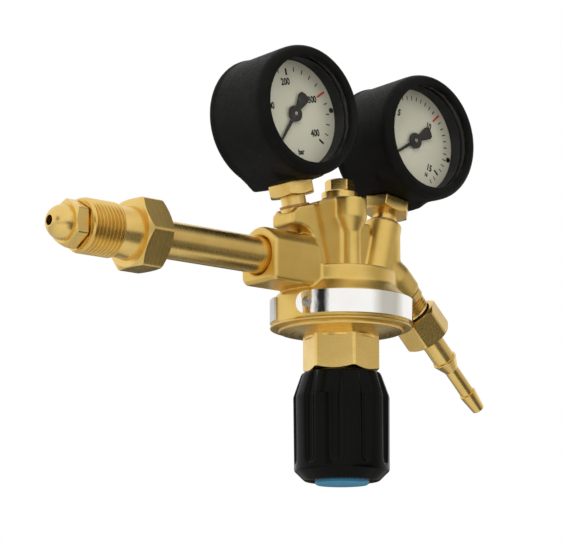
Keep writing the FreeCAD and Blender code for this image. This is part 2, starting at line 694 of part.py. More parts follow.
def outlet_seal():
    """Flat seal between the nipple and the hose tail."""
    low = OUT_FACE - OUT_NIPPLE_IN + OUT_NIPPLE_LEN
    return tube(TAIL_HEAD_R, TAIL_BORE_R + 1, low, low + SEAL_LEN, Vector(OUT_X, 0, 0), OUT_DIR)


def union_nut():
    """Hexagonal nut that draws the hose tail onto the nipple."""
    low = OUT_FACE + UNION_START
    high = low + UNION_LEN
    solid = hex_turned(UNION_AF, low, high, UNION_AF / math.sqrt(3) - 0.3, 30.0)
    solid = solid.cut(rod(G38_R + RUN_FIT, low - 1, high - UNION_WALL))
    solid = solid.cut(rod(SHANK_R + SHANK_LIP + RUN_FIT, low, high + 1))
    return laid(solid, Vector(OUT_X, 0, 0), OUT_DIR)


def hose_tail():
    """Stepped hose tail with two barbs."""
    seat = OUT_FACE - OUT_NIPPLE_IN + OUT_NIPPLE_LEN + SEAL_LEN
    nut_end = OUT_FACE + UNION_START + UNION_LEN
    head_end = nut_end - UNION_WALL - LOOSE_FIT
    barb_1 = nut_end + SHANK_LEN
    neck = barb_1 + BARB_1_LEN
    barb_2 = neck + NECK_LEN
    tip = barb_2 + BARB_2_LEN
    return turned([
        (TAIL_BORE_R, seat), (TAIL_HEAD_R, seat), (TAIL_HEAD_R, head_end),
        (SHANK_R + SHANK_LIP, head_end), (SHANK_R + SHANK_LIP, nut_end + 0.8), (SHANK_R, nut_end + 1.2),
        (SHANK_R, barb_1 - 0.1), (BARB_1_R, barb_1), (BARB_1_R, barb_1 + 0.5), (NECK_R, neck),
        (NECK_R, barb_2 - 0.1), (BARB_2_R, barb_2), (BARB_2_R, barb_2 + 0.4), (TIP_R, tip - 0.3),
        (TIP_R - 0.3, tip), (TAIL_BORE_R, tip)], Vector(OUT_X, 0, 0), OUT_DIR)


# Valve and diaphragm

def top_plug():
    """Hexagon plug that closes the valve chamber and holds the valve spring."""
    flange_low = HEAD_TOP + PLUG_SEAL_LEN
    flange_top = flange_low + PLUG_FLANGE_LEN
    flange = turned([(0, flange_low), (PLUG_FLANGE_R, flange_low), (PLUG_FLANGE_R, flange_top - 0.6),
                     (PLUG_FLANGE_R - 0.6, flange_top), (0, flange_top)])
    corner = PLUG_HEX_AF / math.sqrt(3)
    hexa = hex_turned(PLUG_HEX_AF, flange_top - 0.5, flange_top + PLUG_HEX_LEN, corner - 0.2, 15.0,
                      (False, True))
    spigot = rod(CHAMBER_R - SEAT_FIT, PLUG_BOTTOM, flange_low + 1)
    solid = flange.fuse(hexa).fuse(spigot)
    solid = solid.cut(rod(PLUG_SPRING_HOLE_R, PLUG_BOTTOM - 1, PLUG_BOTTOM + PLUG_SPRING_HOLE_LEN))
    guide = PLUG_BOTTOM + PLUG_SPRING_HOLE_LEN + POPPET_GUIDE_LEN + VALVE_LIFT + 0.5
    return solid.cut(rod(POPPET_GUIDE_R + RUN_FIT, PLUG_BOTTOM - 1, guide)).removeSplitter()


def poppet():
    """Valve head with a cone that closes the seat from above."""
    low = SEAT_TOP
    guide_top = PLUG_BOTTOM + PLUG_SPRING_HOLE_LEN + POPPET_GUIDE_LEN
    return turned([(0, low), (SEAT_HOLE_R + 0.8, low), (POPPET_R, low + POPPET_NOSE),
                   (POPPET_R, low + POPPET_LEN - POPPET_STEP),
                   (VALVE_COIL_R - VALVE_WIRE / 2 - GUIDE_FIT, low + POPPET_LEN - POPPET_STEP),
                   (VALVE_COIL_R - VALVE_WIRE / 2 - GUIDE_FIT, low + POPPET_LEN),
                   (POPPET_GUIDE_R, low + POPPET_LEN), (POPPET_GUIDE_R, guide_top),
                   (0, guide_top)])


def bonnet():
    """Bonnet with its rim, cone, hexagon and the guide for the spring carrier."""
    rim = turned([(0, SLIP_BOTTOM), (BONNET_R, SLIP_BOTTOM), (BONNET_R, BONNET_BOTTOM + 0.6),
                  (BONNET_R - 0.6, BONNET_BOTTOM), (BONNET_CORNER_R - 1, CONE_BOTTOM),
                  (BONNET_CORNER_R - 1, CONE_BOTTOM - 1), (0, CONE_BOTTOM - 1)])
    hexa = hex_turned(BONNET_AF, BONNET_HEX_BOTTOM, CONE_BOTTOM + 2, BONNET_CORNER_R, BONNET_HEX_TURN,
                      (True, False))
    neck = rod(BONNET_NECK_R, NECK_BOTTOM, BONNET_HEX_BOTTOM + 1)
    solid = rim.fuse(hexa).fuse(neck)
    solid = solid.cut(rod(BONNET_MOUTH_R, BONNET_MOUTH_BOTTOM, SLIP_BOTTOM + 1))
    solid = solid.cut(rod(SPRING_HOUSE_R, GUIDE_TOP, BONNET_MOUTH_BOTTOM + 1))
    solid = solid.cut(hexagon(GUIDE_AF + 2 * GUIDE_FIT, COLLAR_BOTTOM, GUIDE_TOP + 1, BONNET_HEX_TURN))
    solid = solid.cut(rod(SCREW_R + RUN_FIT, NECK_BOTTOM - 1, COLLAR_BOTTOM + 1))
    return solid.removeSplitter()


def adjusting_screw():
    """Screw held endways in the bonnet's neck, driven by the knob."""
    solid = turned([
        (0, DRIVE_BOTTOM), (SCREW_R - 0.6, DRIVE_BOTTOM), (SCREW_R, DRIVE_BOTTOM + 0.6),
        (SCREW_R, COLLAR_BOTTOM), (SCREW_COLLAR_R, COLLAR_BOTTOM),
        (SCREW_COLLAR_R, COLLAR_BOTTOM + SCREW_COLLAR_LEN), (SCREW_R, COLLAR_BOTTOM + SCREW_COLLAR_LEN),
        (SCREW_R, SCREW_TOP - 0.8), (SCREW_R - 0.8, SCREW_TOP), (0, SCREW_TOP)])
    half = DRIVE_AF / 2
    for sign in (-1, 1):
        low, high = sorted((sign * half, sign * 20))
        solid = solid.cut(block(low, high, -20, 20, DRIVE_BOTTOM - 1, DRIVE_TOP))
    groove = tube(SCREW_R + 1, SCREW_R - 0.7, CLIP_TOP - CLIP_THICK - 0.05, CLIP_TOP + 0.05)
    return solid.cut(groove)


def screw_clip():
    """Open retaining ring in the screw's groove."""
    ring = tube(CLIP_R, SCREW_R - 0.7 + SEAT_FIT, CLIP_TOP - CLIP_THICK, CLIP_TOP)
    return ring.cut(block(0, CLIP_R + 1, -1.5, 1.5, CLIP_TOP - 2, CLIP_TOP + 1))


def spring_carrier():
    """Hexagonal nut that climbs the screw and loads the main spring."""
    solid = hexagon(GUIDE_AF, CARRIER_BOTTOM, CARRIER_TOP, BONNET_HEX_TURN)
    pilot = rod(SPRING_COIL_R - SPRING_WIRE / 2 - LOOSE_FIT, CARRIER_TOP - 1, CARRIER_TOP + 1.6)
    solid = solid.fuse(pilot)
    return solid.cut(rod(SCREW_R + RUN_FIT, CARRIER_BOTTOM - 1, CARRIER_TOP + 3)).removeSplitter()


def diaphragm_plate():
    """Plate under the diaphragm that the main spring presses on."""
    low = PLATE_BOTTOM
    pilot = low - PLATE_PILOT_LEN
    return turned([(0, pilot), (PLATE_PILOT_R, pilot), (PLATE_PILOT_R + 0.5, low),
                   (PLATE_R, low), (PLATE_R, DIAPHRAGM_BOTTOM - 0.4), (PLATE_R - 0.4, DIAPHRAGM_BOTTOM),
                   (0, DIAPHRAGM_BOTTOM)])


# Knob

def knob():
    """Fluted hand knob, hollow around the bonnet's neck."""
    w = KNOB_WALL
    r = 0.8
    k = r * (1 - math.sqrt(0.5))
    floor = KNOB_BOTTOM + KNOB_FLOOR + CAP_DEPTH - CAP_OUT
    inner_top = BONNET_NECK_R + LOOSE_FIT * 2
    solid = turned([
        (0, KNOB_BOTTOM), (KNOB_BOTTOM_R, KNOB_BOTTOM), (KNOB_FOOT_R, KNOB_FOOT), (KNOB_R, KNOB_SHOULDER),
        (KNOB_TOP_R + 0.3, KNOB_TOP - 1.0),
        (KNOB_TOP_R - k, KNOB_TOP - 0.2), (KNOB_TOP_R - r, KNOB_TOP), (0, KNOB_TOP)])
    hollow = turned([
        (0, floor), (KNOB_FOOT_R - w - 2, floor), (KNOB_R - w - 1.4, KNOB_SHOULDER - 4),
        (inner_top, KNOB_TOP - 4), (inner_top, KNOB_TOP + 1), (0, KNOB_TOP + 1)])
    hub = rod(KNOB_HUB_R, floor - 1, DRIVE_TOP - 0.2)
    solid = solid.cut(hollow).fuse(hub)
    bore = rod(SCREW_R + SEAT_FIT, DRIVE_BOTTOM - 0.2, DRIVE_TOP + 1)
    half = DRIVE_AF / 2 + SEAT_FIT
    solid = solid.cut(bore.common(block(-half, half, -20, 20, DRIVE_BOTTOM - 1, DRIVE_TOP + 2)))
    solid = solid.cut(rod(CAP_R + SEAT_FIT, KNOB_BOTTOM - 1, KNOB_BOTTOM + CAP_DEPTH - CAP_OUT))
    low = polar(FLUTE_AXIS, 0, FLUTE_END)
    bend = polar(FLUTE_AXIS, 0, KNOB_SHOULDER)
    run = polar(FLUTE_TOP_AXIS, 0, KNOB_TOP) - bend
    cutter = fused([Part.makeCylinder(FLUTE_R, (bend - low).Length, low, bend - low), Part.makeSphere(FLUTE_R, low),
                    Part.makeSphere(FLUTE_R, bend), Part.makeCylinder(FLUTE_R, run.Length + 4, bend, run)])
    for i in range(KNOB_FLUTES):
        one = cutter.copy()
        one.rotate(Vector(0, 0, 0), Vector(0, 0, 1), FLUTE_TURN + 360.0 * i / KNOB_FLUTES)
        solid = solid.cut(one)
    return solid.removeSplitter()


def knob_cap():
    """Slightly domed plastic cap pressed into the knob's foot."""
    low = KNOB_BOTTOM - CAP_OUT
    top = KNOB_BOTTOM + CAP_DEPTH - CAP_OUT
    rise = CAP_DOME
    return turned([(0, low - rise + 0.5), ((CAP_R * 0.5, low - rise * 0.7 + 0.5), (CAP_R - 0.8, low + 0.5)),
                   (CAP_R, low + 1.1), (CAP_R, top), (0, top)])


# Plates on the drum

def sign(thick, span, middle, rounded):
    """Bent plate on the drum, centred on a direction in degrees."""
    inner = DRUM_R + SEAT_FIT
    low, high = SIGN_BOTTOM, SIGN_TOP
    start = middle - span / 2
    face = Part.makePolygon([Vector(inner, 0, low), Vector(inner + thick, 0, low),
                             Vector(inner + thick, 0, high), Vector(inner, 0, high), Vector(inner, 0, low)])
    strip = Part.Face(face).revolve(Vector(0, 0, 0), Vector(0, 0, 1), span)
    strip.rotate(Vector(0, 0, 0), Vector(0, 0, 1), start)
    if not rounded:
        return strip
    half = (high - low) / 2
    inset = math.degrees(half / (inner + thick))
    for end, sense in ((start, 1), (start + span, -1)):
        corner = strip.common(wedge(end - sense * 1.0, end + sense * inset))
        centre = end + sense * inset
        disc = Part.makeCylinder(half, 20, polar(inner - 10, centre, (low + high) / 2), polar(1, centre))
        strip = strip.cut(corner.cut(disc))
    return rivet_holes(strip, thick, span, middle)


def wedge(a, b):
    """Tall slice between two directions, wide enough to hold the drum."""
    low, high = min(a, b), max(a, b)
    face = Part.makePolygon([Vector(0, 0, -40), Vector(60, 0, -40), Vector(60, 0, 0), Vector(0, 0, 0),
                             Vector(0, 0, -40)])
    piece = Part.Face(face).revolve(Vector(0, 0, 0), Vector(0, 0, 1), high - low)
    piece.rotate(Vector(0, 0, 0), Vector(0, 0, 1), low)
    return piece


def rivet_holes(solid, thick, span, middle):
    """Cut the holes for the two rivets out of a solid."""
    mid = (SIGN_TOP + SIGN_BOTTOM) / 2
    for sense in (-1, 1):
        angle = middle + sense * (span / 2 - RIVET_IN)
        hole = rod(RIVET_PIN_R, -RIVET_PIN_LEN - thick, 1, polar(DRUM_R + SEAT_FIT + thick, angle, mid),
                   polar(1, angle))
        solid = solid.cut(hole)
    return solid


def rivets(thick, span, middle):
    """Drive rivets through a plate's two ends."""
    out = []
    inner = DRUM_R + SEAT_FIT
    mid = (SIGN_TOP + SIGN_BOTTOM) / 2
    for sense in (-1, 1):
        angle = middle + sense * (span / 2 - RIVET_IN)
        head = inner + thick
        rise = RIVET_HEAD - RIVET_EDGE
        ball = (RIVET_R ** 2 + rise ** 2) / (2 * rise)
        half_way = math.asin(RIVET_R / ball) / 2
        crown = (ball * math.sin(half_way), RIVET_HEAD - ball + ball * math.cos(half_way))
        pin = turned([(0, -RIVET_PIN_LEN - thick), (RIVET_PIN_R, -RIVET_PIN_LEN - thick), (RIVET_PIN_R, 0),
                      (RIVET_R, 0), (RIVET_R, RIVET_EDGE), (crown, (0, RIVET_HEAD))],
                     polar(head + 0.02, angle, mid), polar(1, angle))
        out.append(pin)
    return out


# Gauge

FRONT = Vector(0, 1, 0)


def boot():
    """Rubber boot: rim, tapering side, rear bead, and a skirt around the stem."""
    r = BOOT_RIM_ROUND
    q = BOOT_REAR_ROUND
    s = math.sqrt(0.5)
    inner = CASE_R + BOOT_FIT
    rim_mid = (BOOT_RIM_R - r + r * s, BOOT_FRONT + r - r * s)
    lip = 0.6
    shell = turned([
        (0, BOOT_FRONT), (BOOT_RIM_R - r, BOOT_FRONT), (rim_mid, (BOOT_RIM_R, BOOT_FRONT + r)),
        (BOOT_RIM_R, BOOT_FRONT + r + 2), (BOOT_REAR_R, BOOT_BEAD_START),
        (BOOT_REAR_R + BOOT_BEAD, BOOT_BEAD_START + 0.9), (BOOT_REAR_R + BOOT_BEAD, BOOT_BEAD_END - 0.9),
        (BOOT_REAR_R - 0.4, BOOT_BEAD_END), (BOOT_REAR_R - 1.6, BOOT_BACK - 0.7),
        (BOOT_REAR_R - q, BOOT_BACK), (0, BOOT_BACK)],
        Vector(0, 0, 0), FRONT)
    angle = math.atan2(BOOT_SKIRT_HALF, BOOT_SKIRT) + math.acos(
        BOOT_REAR_R / math.hypot(BOOT_SKIRT, BOOT_SKIRT_HALF))
    touch = (BOOT_REAR_R * math.sin(angle), -BOOT_REAR_R * math.cos(angle))
    points = [(-touch[0], touch[1]), (-BOOT_SKIRT_HALF, -BOOT_SKIRT), (BOOT_SKIRT_HALF, -BOOT_SKIRT),
              (touch[0], touch[1]), (0, 0)]
    corners = [Vector(x, BOOT_SKIRT_FRONT, z) for x, z in points]
    face = Part.Face(Part.makePolygon(corners + corners[:1]))
    skirt = face.extrude(Vector(0, BOOT_SKIRT_BACK - BOOT_SKIRT_FRONT, 0))
    near = [Vector(x, BOOT_SKIRT_FRONT, z) for x, z in points]
    raised = -BOOT_SKIRT + BOOT_SKIRT_RISE
    under = [Vector(-30, BOOT_SKIRT_BACK, -BOOT_SKIRT), Vector(-30, BOOT_SKIRT_FRONT, raised),
             Vector(-30, BOOT_FRONT, raised), Vector(-30, BOOT_FRONT, -60),
             Vector(-30, BOOT_SKIRT_BACK, -60)]
    under = Part.Face(Part.makePolygon(under + under[:1])).extrude(Vector(60, 0, 0))
    far = [Vector(x * CHIN_NARROW, BOOT_FRONT + CHIN_BACK, z * CHIN_SHORT) for x, z in points]
    chin = Part.makeLoft([Part.makePolygon(near + near[:1]), Part.makePolygon(far + far[:1])], True, True)
    solid = shell.fuse(skirt.fuse(chin).cut(under))
    solid = solid.cut(rod(inner, CASE_FRONT - lip, CASE_BACK + 0.2, Vector(0, 0, 0), FRONT))
    solid = solid.cut(rod(BOOT_OPEN_R, BOOT_FRONT - 1, CASE_FRONT, Vector(0, 0, 0), FRONT))
    solid = solid.cut(rod(BOOT_BACK_OPEN_R, 0, BOOT_BACK + 1, Vector(0, 0, 0), FRONT))
    slot = rod(STEM_SHANK_R + STEM_SLOT, -BOOT_SKIRT - 1, -10)
    pocket = hexagon(STEM_HEX_AF + 2 * BOOT_HEX_FIT, -BOOT_SKIRT - 5, -STEM_HEX_TOP + BOOT_HEX_FIT,
                     STEM_HEX_TURN)
    return solid.cut(slot).cut(pocket).removeSplitter()


def case():
    """Steel cup that holds the gauge's works."""
    cup = turned([(0, CASE_FRONT), (CASE_R, CASE_FRONT), (CASE_R, CASE_BACK - 1.5), (CASE_R - 1.5, CASE_BACK),
                  (0, CASE_BACK)], Vector(0, 0, 0), FRONT)
    inner = CASE_R - CASE_WALL
    cup = cup.cut(rod(inner, CASE_FRONT - 1, CASE_BACK - CASE_WALL, Vector(0, 0, 0), FRONT))
    return cup.cut(rod(STEM_SHANK_R + SEAT_FIT, -CASE_R - 2, -10))


def spacer():
    """Thin ring that keeps window and dial apart."""
    outer = CASE_R - CASE_WALL - SEAT_FIT
    return tube(outer, outer - SPACER_WALL, WINDOW_FRONT + WINDOW_THICK, DIAL_FACE, Vector(0, 0, 0), FRONT)


def window():
    """Clear window."""
    outer = CASE_R - CASE_WALL - SEAT_FIT
    return rod(outer, WINDOW_FRONT, WINDOW_FRONT + WINDOW_THICK, Vector(0, 0, 0), FRONT)


def dial():
    """Round dial plate with its centre hole."""
    outer = CASE_R - CASE_WALL - SEAT_FIT
    return tube(outer, DIAL_HOLE_R, DIAL_FACE, DIAL_FACE + DIAL_THICK, Vector(0, 0, 0), FRONT)


def pointer():
    """Pointer with a round hub, a tapering arm and a fan-shaped tail."""
    low, high = POINTER_FACE, POINTER_FACE + POINTER_THICK
    hub = tube(POINTER_HUB_R, ARBOR_R, low, high, Vector(0, 0, 0), FRONT)
    wide, narrow = POINTER_WIDE / 2, POINTER_NARROW / 2
    tail_r = POINTER_TAIL
    tail_n, tail_w = POINTER_TAIL_NARROW, POINTER_TAIL_WIDE
    start = POINTER_HUB_R * 0.8
    shape = [(start, -wide), (POINTER_LEN, -narrow), (POINTER_LEN, narrow), (start, wide)]
    fan = [(-start, tail_n), (-tail_r + 2.2, tail_w), (-tail_r + 0.5, tail_w * 0.8), (-tail_r, 0),
           (-tail_r + 0.5, -tail_w * 0.8), (-tail_r + 2.2, -tail_w), (-start, -tail_n)]
    out = hub
    for outline in (shape, fan):
        corners = [Vector(x, low, z) for x, z in outline]
        face = Part.Face(Part.makePolygon(corners + corners[:1]))
        out = out.fuse(face.extrude(Vector(0, high - low, 0)))
    out = out.removeSplitter()
    out.rotate(Vector(0, 0, 0), Vector(0, -1, 0), POINTER_REST)
    return out


def arbor():
    """Pointer arbor with its pinion, running in the movement's plates."""
    shaft = rod(ARBOR_R, POINTER_FACE - 0.3, MOVEMENT_BACK + MOVEMENT_PLATE * 0.5, Vector(0, 0, 0), FRONT)
    mid = (MOVEMENT_FRONT + MOVEMENT_PLATE + MOVEMENT_BACK) / 2
    pinion = rod(PINION_R, mid - PINION_LEN / 2, mid + PINION_LEN / 2, Vector(0, 0, 0), FRONT)
    return shaft.fuse(pinion).removeSplitter()


def movement():
    """Two plates joined by pillars, carrying arbor and sector."""
    h = MOVEMENT_HALF
    low = -h - 4
    front = block(-h, h, MOVEMENT_FRONT, MOVEMENT_FRONT + MOVEMENT_PLATE, low, h * 0.5)
    back = block(-h, h, MOVEMENT_BACK, MOVEMENT_BACK + MOVEMENT_PLATE, low, h * 0.5)
    out = front.fuse(back)
    side = h - PILLAR_R - 0.6
    for x in (-side, side):
        for z in (h * 0.5 - PILLAR_R - 0.6, low + PILLAR_R + 0.6):
            pillar = Part.makeCylinder(PILLAR_R, MOVEMENT_BACK - MOVEMENT_FRONT,
                                       Vector(x, MOVEMENT_FRONT, z), FRONT)
            out = out.fuse(pillar)
    out = out.fuse(block(-SOCKET_HALF_X + 2, SOCKET_HALF_X - 2, MOVEMENT_BACK, MOVEMENT_BACK + MOVEMENT_PLATE,
                         -SOCKET_TOP - SOCKET_LAP, low + 1))
    out = out.cut(rod(ARBOR_R + RUN_FIT, -30, 30, Vector(0, 0, 0), FRONT))
    out = out.cut(rod(ARBOR_R + RUN_FIT, -30, 30, Vector(0, 0, SECTOR_PIVOT), FRONT))
    return out.removeSplitter()


def sector():
    """Sector that turns the pinion, with its own arbor in the plates."""
    mid = (MOVEMENT_FRONT + MOVEMENT_PLATE + MOVEMENT_BACK) / 2
    half = SECTOR_HALF_ANGLE
    centre = Vector(0, mid - SECTOR_THICK / 2, SECTOR_PIVOT)
    left, top, right = (centre + Vector(SECTOR_TEETH_R * math.sin(math.radians(a)), 0,
                                        SECTOR_TEETH_R * math.cos(math.radians(a))) for a in (-half, 0, half))
    rim = Part.Arc(left, top, right).toShape()
    face = Part.Face(Part.Wire([Part.makeLine(centre, left), rim, Part.makeLine(right, centre)]))
    blade = face.extrude(Vector(0, SECTOR_THICK, 0))
    boss = Part.makeCylinder(1.8, SECTOR_THICK, centre, FRONT)
    foot = Vector(0, MOVEMENT_FRONT + MOVEMENT_PLATE / 2, SECTOR_PIVOT)
    shaft = Part.makeCylinder(ARBOR_R, MOVEMENT_BACK - MOVEMENT_FRONT, foot, FRONT)
    out = blade.fuse(boss).fuse(shaft).removeSplitter()
    out.rotate(Vector(0, 0, SECTOR_PIVOT), Vector(0, 1, 0), POINTER_SWEEP * PINION_R / SECTOR_TEETH_R / 2)
    return out


def bourdon():
    """Flattened tube bent round the movement, rooted in the socket."""
    a, t = BOURDON_HALF_DEPTH, BOURDON_HALF_THICK
    mid = MOVEMENT_BACK + MOVEMENT_PLATE + a + 0.6
    z0 = BOURDON_R
    flat = a - t
    outline = [(z0 - t, mid - flat), (z0, mid - a), (z0 + t, mid - flat), (z0 + t, mid + flat),
               (z0, mid + a), (z0 - t, mid + flat)]
    corners = [Vector(x, y, 0) for x, y in outline]
    face = Part.Face(Part.makePolygon(corners + corners[:1]))
    solid = face.revolve(Vector(0, 0, 0), Vector(0, -1, 0), BOURDON_SWEEP)
    solid.rotate(Vector(0, 0, 0), Vector(0, -1, 0), -68)
    return solid


def stem():
    """Gauge stem: socket inside the case, shank, hexagon, neck and thread."""
    shank = rod(STEM_SHANK_R, -STEM_HEX_TOP - 0.5, -CASE_R + 3)
    hexa = hex_turned(STEM_HEX_AF, -STEM_HEX_BOTTOM, -STEM_HEX_TOP, STEM_HEX_AF / math.sqrt(3) - 0.12,
                      STEM_HEX_TURN, (True, False))
    neck = rod(STEM_NECK_R, -ARM_FACE - 1, -STEM_HEX_BOTTOM + 1)
    thread = turned([(0, -ARM_FACE - STEM_THREAD_LEN), (STEM_THREAD_R - 0.8, -ARM_FACE - STEM_THREAD_LEN),
                     (STEM_THREAD_R, -ARM_FACE - STEM_THREAD_LEN + 0.8), (STEM_THREAD_R, -ARM_FACE - 0.3),
                     (0, -ARM_FACE - 0.3)])
    inner = CASE_R - CASE_WALL
    socket = block(-SOCKET_HALF_X, SOCKET_HALF_X, MOVEMENT_BACK + MOVEMENT_PLATE, SOCKET_BACK,
                   -CASE_R, -SOCKET_TOP)
    socket = socket.common(rod(inner - 0.1, -30, 30, Vector(0, 0, 0), FRONT))
    solid = shank.fuse(hexa).fuse(neck).fuse(thread).fuse(socket)
    bore = rod(PASSAGE_R, -ARM_FACE - STEM_THREAD_LEN - 1, -SOCKET_TOP - 3)
    return solid.cut(bore).cut(bourdon()).removeSplitter()


def stem_washer():
    """Sealing washer between the gauge's thread and its arm."""
    return tube(STEM_WASHER_R, STEM_NECK_R + SEAT_FIT, -ARM_FACE, -ARM_FACE + STEM_WASHER_LEN)


def build():
    """Make every node in its place."""
    keep("body", body())
    keep("inlet_stem", inlet_stem())
    keep("inlet_nut", inlet_nut())
    keep("inlet_nipple", inlet_nipple())
    keep("inlet_filter", inlet_filter())
    keep("outlet_nipple", outlet_nipple())
    keep("outlet_seal", outlet_seal())
    keep("union_nut", union_nut())
    keep("hose_tail", hose_tail())
    keep("top_plug", top_plug())
    keep("plug_seal", tube(PLUG_SEAL_R, CHAMBER_R + SEAT_FIT, HEAD_TOP, HEAD_TOP + PLUG_SEAL_LEN))
    keep("valve_seat", tube(SEAT_R, SEAT_HOLE_R, SEAT_BOTTOM, SEAT_TOP))
    keep("valve_poppet", poppet())
    keep("valve_pin", rod(PIN_R, DIAPHRAGM_TOP + BUTTON_THICK, SEAT_TOP))
    coil_low = SEAT_TOP + POPPET_LEN - POPPET_STEP
    coil_high = PLUG_BOTTOM + PLUG_SPRING_HOLE_LEN - SPRING_END_GAP
    keep("valve_spring", spring(VALVE_COIL_R, VALVE_WIRE / 2, coil_low + SPRING_END_GAP, coil_high,
                                VALVE_TURNS, "valve spring"))
    keep("diaphragm_button", rod(BUTTON_R, DIAPHRAGM_TOP, DIAPHRAGM_TOP + BUTTON_THICK))
    keep("diaphragm", rod(DIAPHRAGM_R, DIAPHRAGM_BOTTOM, DIAPHRAGM_TOP))
    keep("slip_ring", tube(DIAPHRAGM_R, SLIP_INNER_R, SLIP_BOTTOM, DIAPHRAGM_BOTTOM))
    keep("diaphragm_plate", diaphragm_plate())
    keep("bonnet", bonnet())
    keep("main_spring", spring(SPRING_COIL_R, SPRING_WIRE / 2, CARRIER_TOP + SPRING_END_GAP,
                               PLATE_BOTTOM - SPRING_END_GAP, SPRING_TURNS, "main spring"))
    keep("spring_carrier", spring_carrier())
    keep("adjusting_screw", adjusting_screw())
    keep("screw_clip", screw_clip())
    keep("knob", knob())
    keep("knob_cap", knob_cap())
    keep("front_plate", sign(SIGN_THICK, SIGN_SPAN, 270, True))
    keep("front_plate_rivets", rivets(SIGN_THICK, SIGN_SPAN, 270))
    keep("rear_label", sign(LABEL_THICK, LABEL_SPAN, 90, False))
    for side, tag in ((-1, "high"), (1, "low")):
        for name, shape in (("stem", stem()), ("stem_washer", stem_washer()), ("case", case()),
                            ("boot", boot()), ("window", window()), ("spacer", spacer()), ("dial", dial()),
                            ("pointer", pointer()), ("arbor", arbor()), ("movement", movement()),
                            ("sector", sector()), ("bourdon", bourdon())):
            keep(tag + "_" + name, gauge_place(shape, side))


def main():
    """Write one file for every node."""
    build()
    os.makedirs("parts", exist_ok=True)
    for name, shape in made.items():
        shape.translate(Vector(REACH, 0, 0))
        if not shape.isValid():
            print("not valid:", name)
        print(name, len(shape.Solids), "solid(s), volume %.1f" % shape.Volume)
        shape.exportStep(os.path.join("parts", name + ".step"))


main()
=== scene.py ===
"""Looks of a gas cylinder pressure regulator with two booted dial gauges."""
import logging
import math
from dataclasses import dataclass, field
from enum import Enum

import bmesh
import bpy
from mathutils import Matrix, Vector


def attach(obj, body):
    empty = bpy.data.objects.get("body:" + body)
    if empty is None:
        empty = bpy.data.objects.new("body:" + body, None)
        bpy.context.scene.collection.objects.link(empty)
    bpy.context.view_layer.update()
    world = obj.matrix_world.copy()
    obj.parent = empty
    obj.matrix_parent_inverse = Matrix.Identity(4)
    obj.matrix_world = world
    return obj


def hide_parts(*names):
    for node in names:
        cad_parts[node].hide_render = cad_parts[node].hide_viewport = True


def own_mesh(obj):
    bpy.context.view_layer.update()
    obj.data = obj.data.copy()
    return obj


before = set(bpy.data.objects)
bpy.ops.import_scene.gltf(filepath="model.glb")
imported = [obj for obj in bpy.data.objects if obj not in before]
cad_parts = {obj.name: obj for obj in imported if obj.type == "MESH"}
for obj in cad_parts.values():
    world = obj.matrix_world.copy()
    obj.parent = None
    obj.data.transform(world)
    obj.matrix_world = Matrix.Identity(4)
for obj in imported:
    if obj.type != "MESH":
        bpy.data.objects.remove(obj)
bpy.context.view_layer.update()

Triple = tuple[float, float, float]
Finishes = dict[str, bpy.types.Material]

# Lengths are in metres and angles in radians, unless a comment says otherwise.

MM = 0.001
QUARTER = math.radians(90)
REACH = 0.1340                        # X of the body's upright axis
CENTRE = Vector((REACH, 0.0, 0.0))    # where the inlet's axis meets it
HUB = Vector((0.0363, 0.0, 0.0623))   # a dial's centre, sideways and up from CENTRE
TILT = math.radians(14.0)             # how far each gauge leans outward
OUTLET_ANGLE = math.radians(44.0)     # how far the outlet points down
WELD = 1e-7                           # made vertices closer than this are one
SAME = 1e-6                           # difference that counts as none
NEAR = 1e-5                           # slack when a vertex is looked up by its place
SMOOTH = 0.6                          # edges under this angle are shaded smooth
THREAD_SMOOTH = 0.5                   # the same on a threaded piece
FIGURE_WIDTH = 0.8                    # width of a figure, against the font's own
FIGURE_DEPTH = 0.00004                # thickness of a printed figure
FONT_SHARE = 0.7                      # height of a figure, against the font's size

log = logging.getLogger("regulator")


class Side(Enum):
    """Which of the two gauges is meant."""

    HIGH = -1
    LOW = 1

    @property
    def tag(self) -> str:
        """Start of the gauge's node names."""
        return self.name.lower()

    @property
    def place(self) -> Matrix:
        """Matrix that takes the gauge's own frame to the object's frame."""
        spot = Vector((REACH + self.value * HUB.x, 0.0, HUB.z))
        return Matrix.Translation(spot) @ Matrix.Rotation(self.value * TILT, 4, "Y")


class Axis(Enum):
    """Turn that lays X along the axis of a turned piece's lathe rings."""

    INLET = (0.0, 0.0, 0.0)
    UPRIGHT = (0.0, QUARTER, 0.0)
    OUTLET = (0.0, -OUTLET_ANGLE, 0.0)
    HIGH_STEM = (0.0, QUARTER + TILT, 0.0)
    LOW_STEM = (0.0, QUARTER - TILT, 0.0)
    DIAL = (0.0, 0.0, QUARTER)


# Finishes

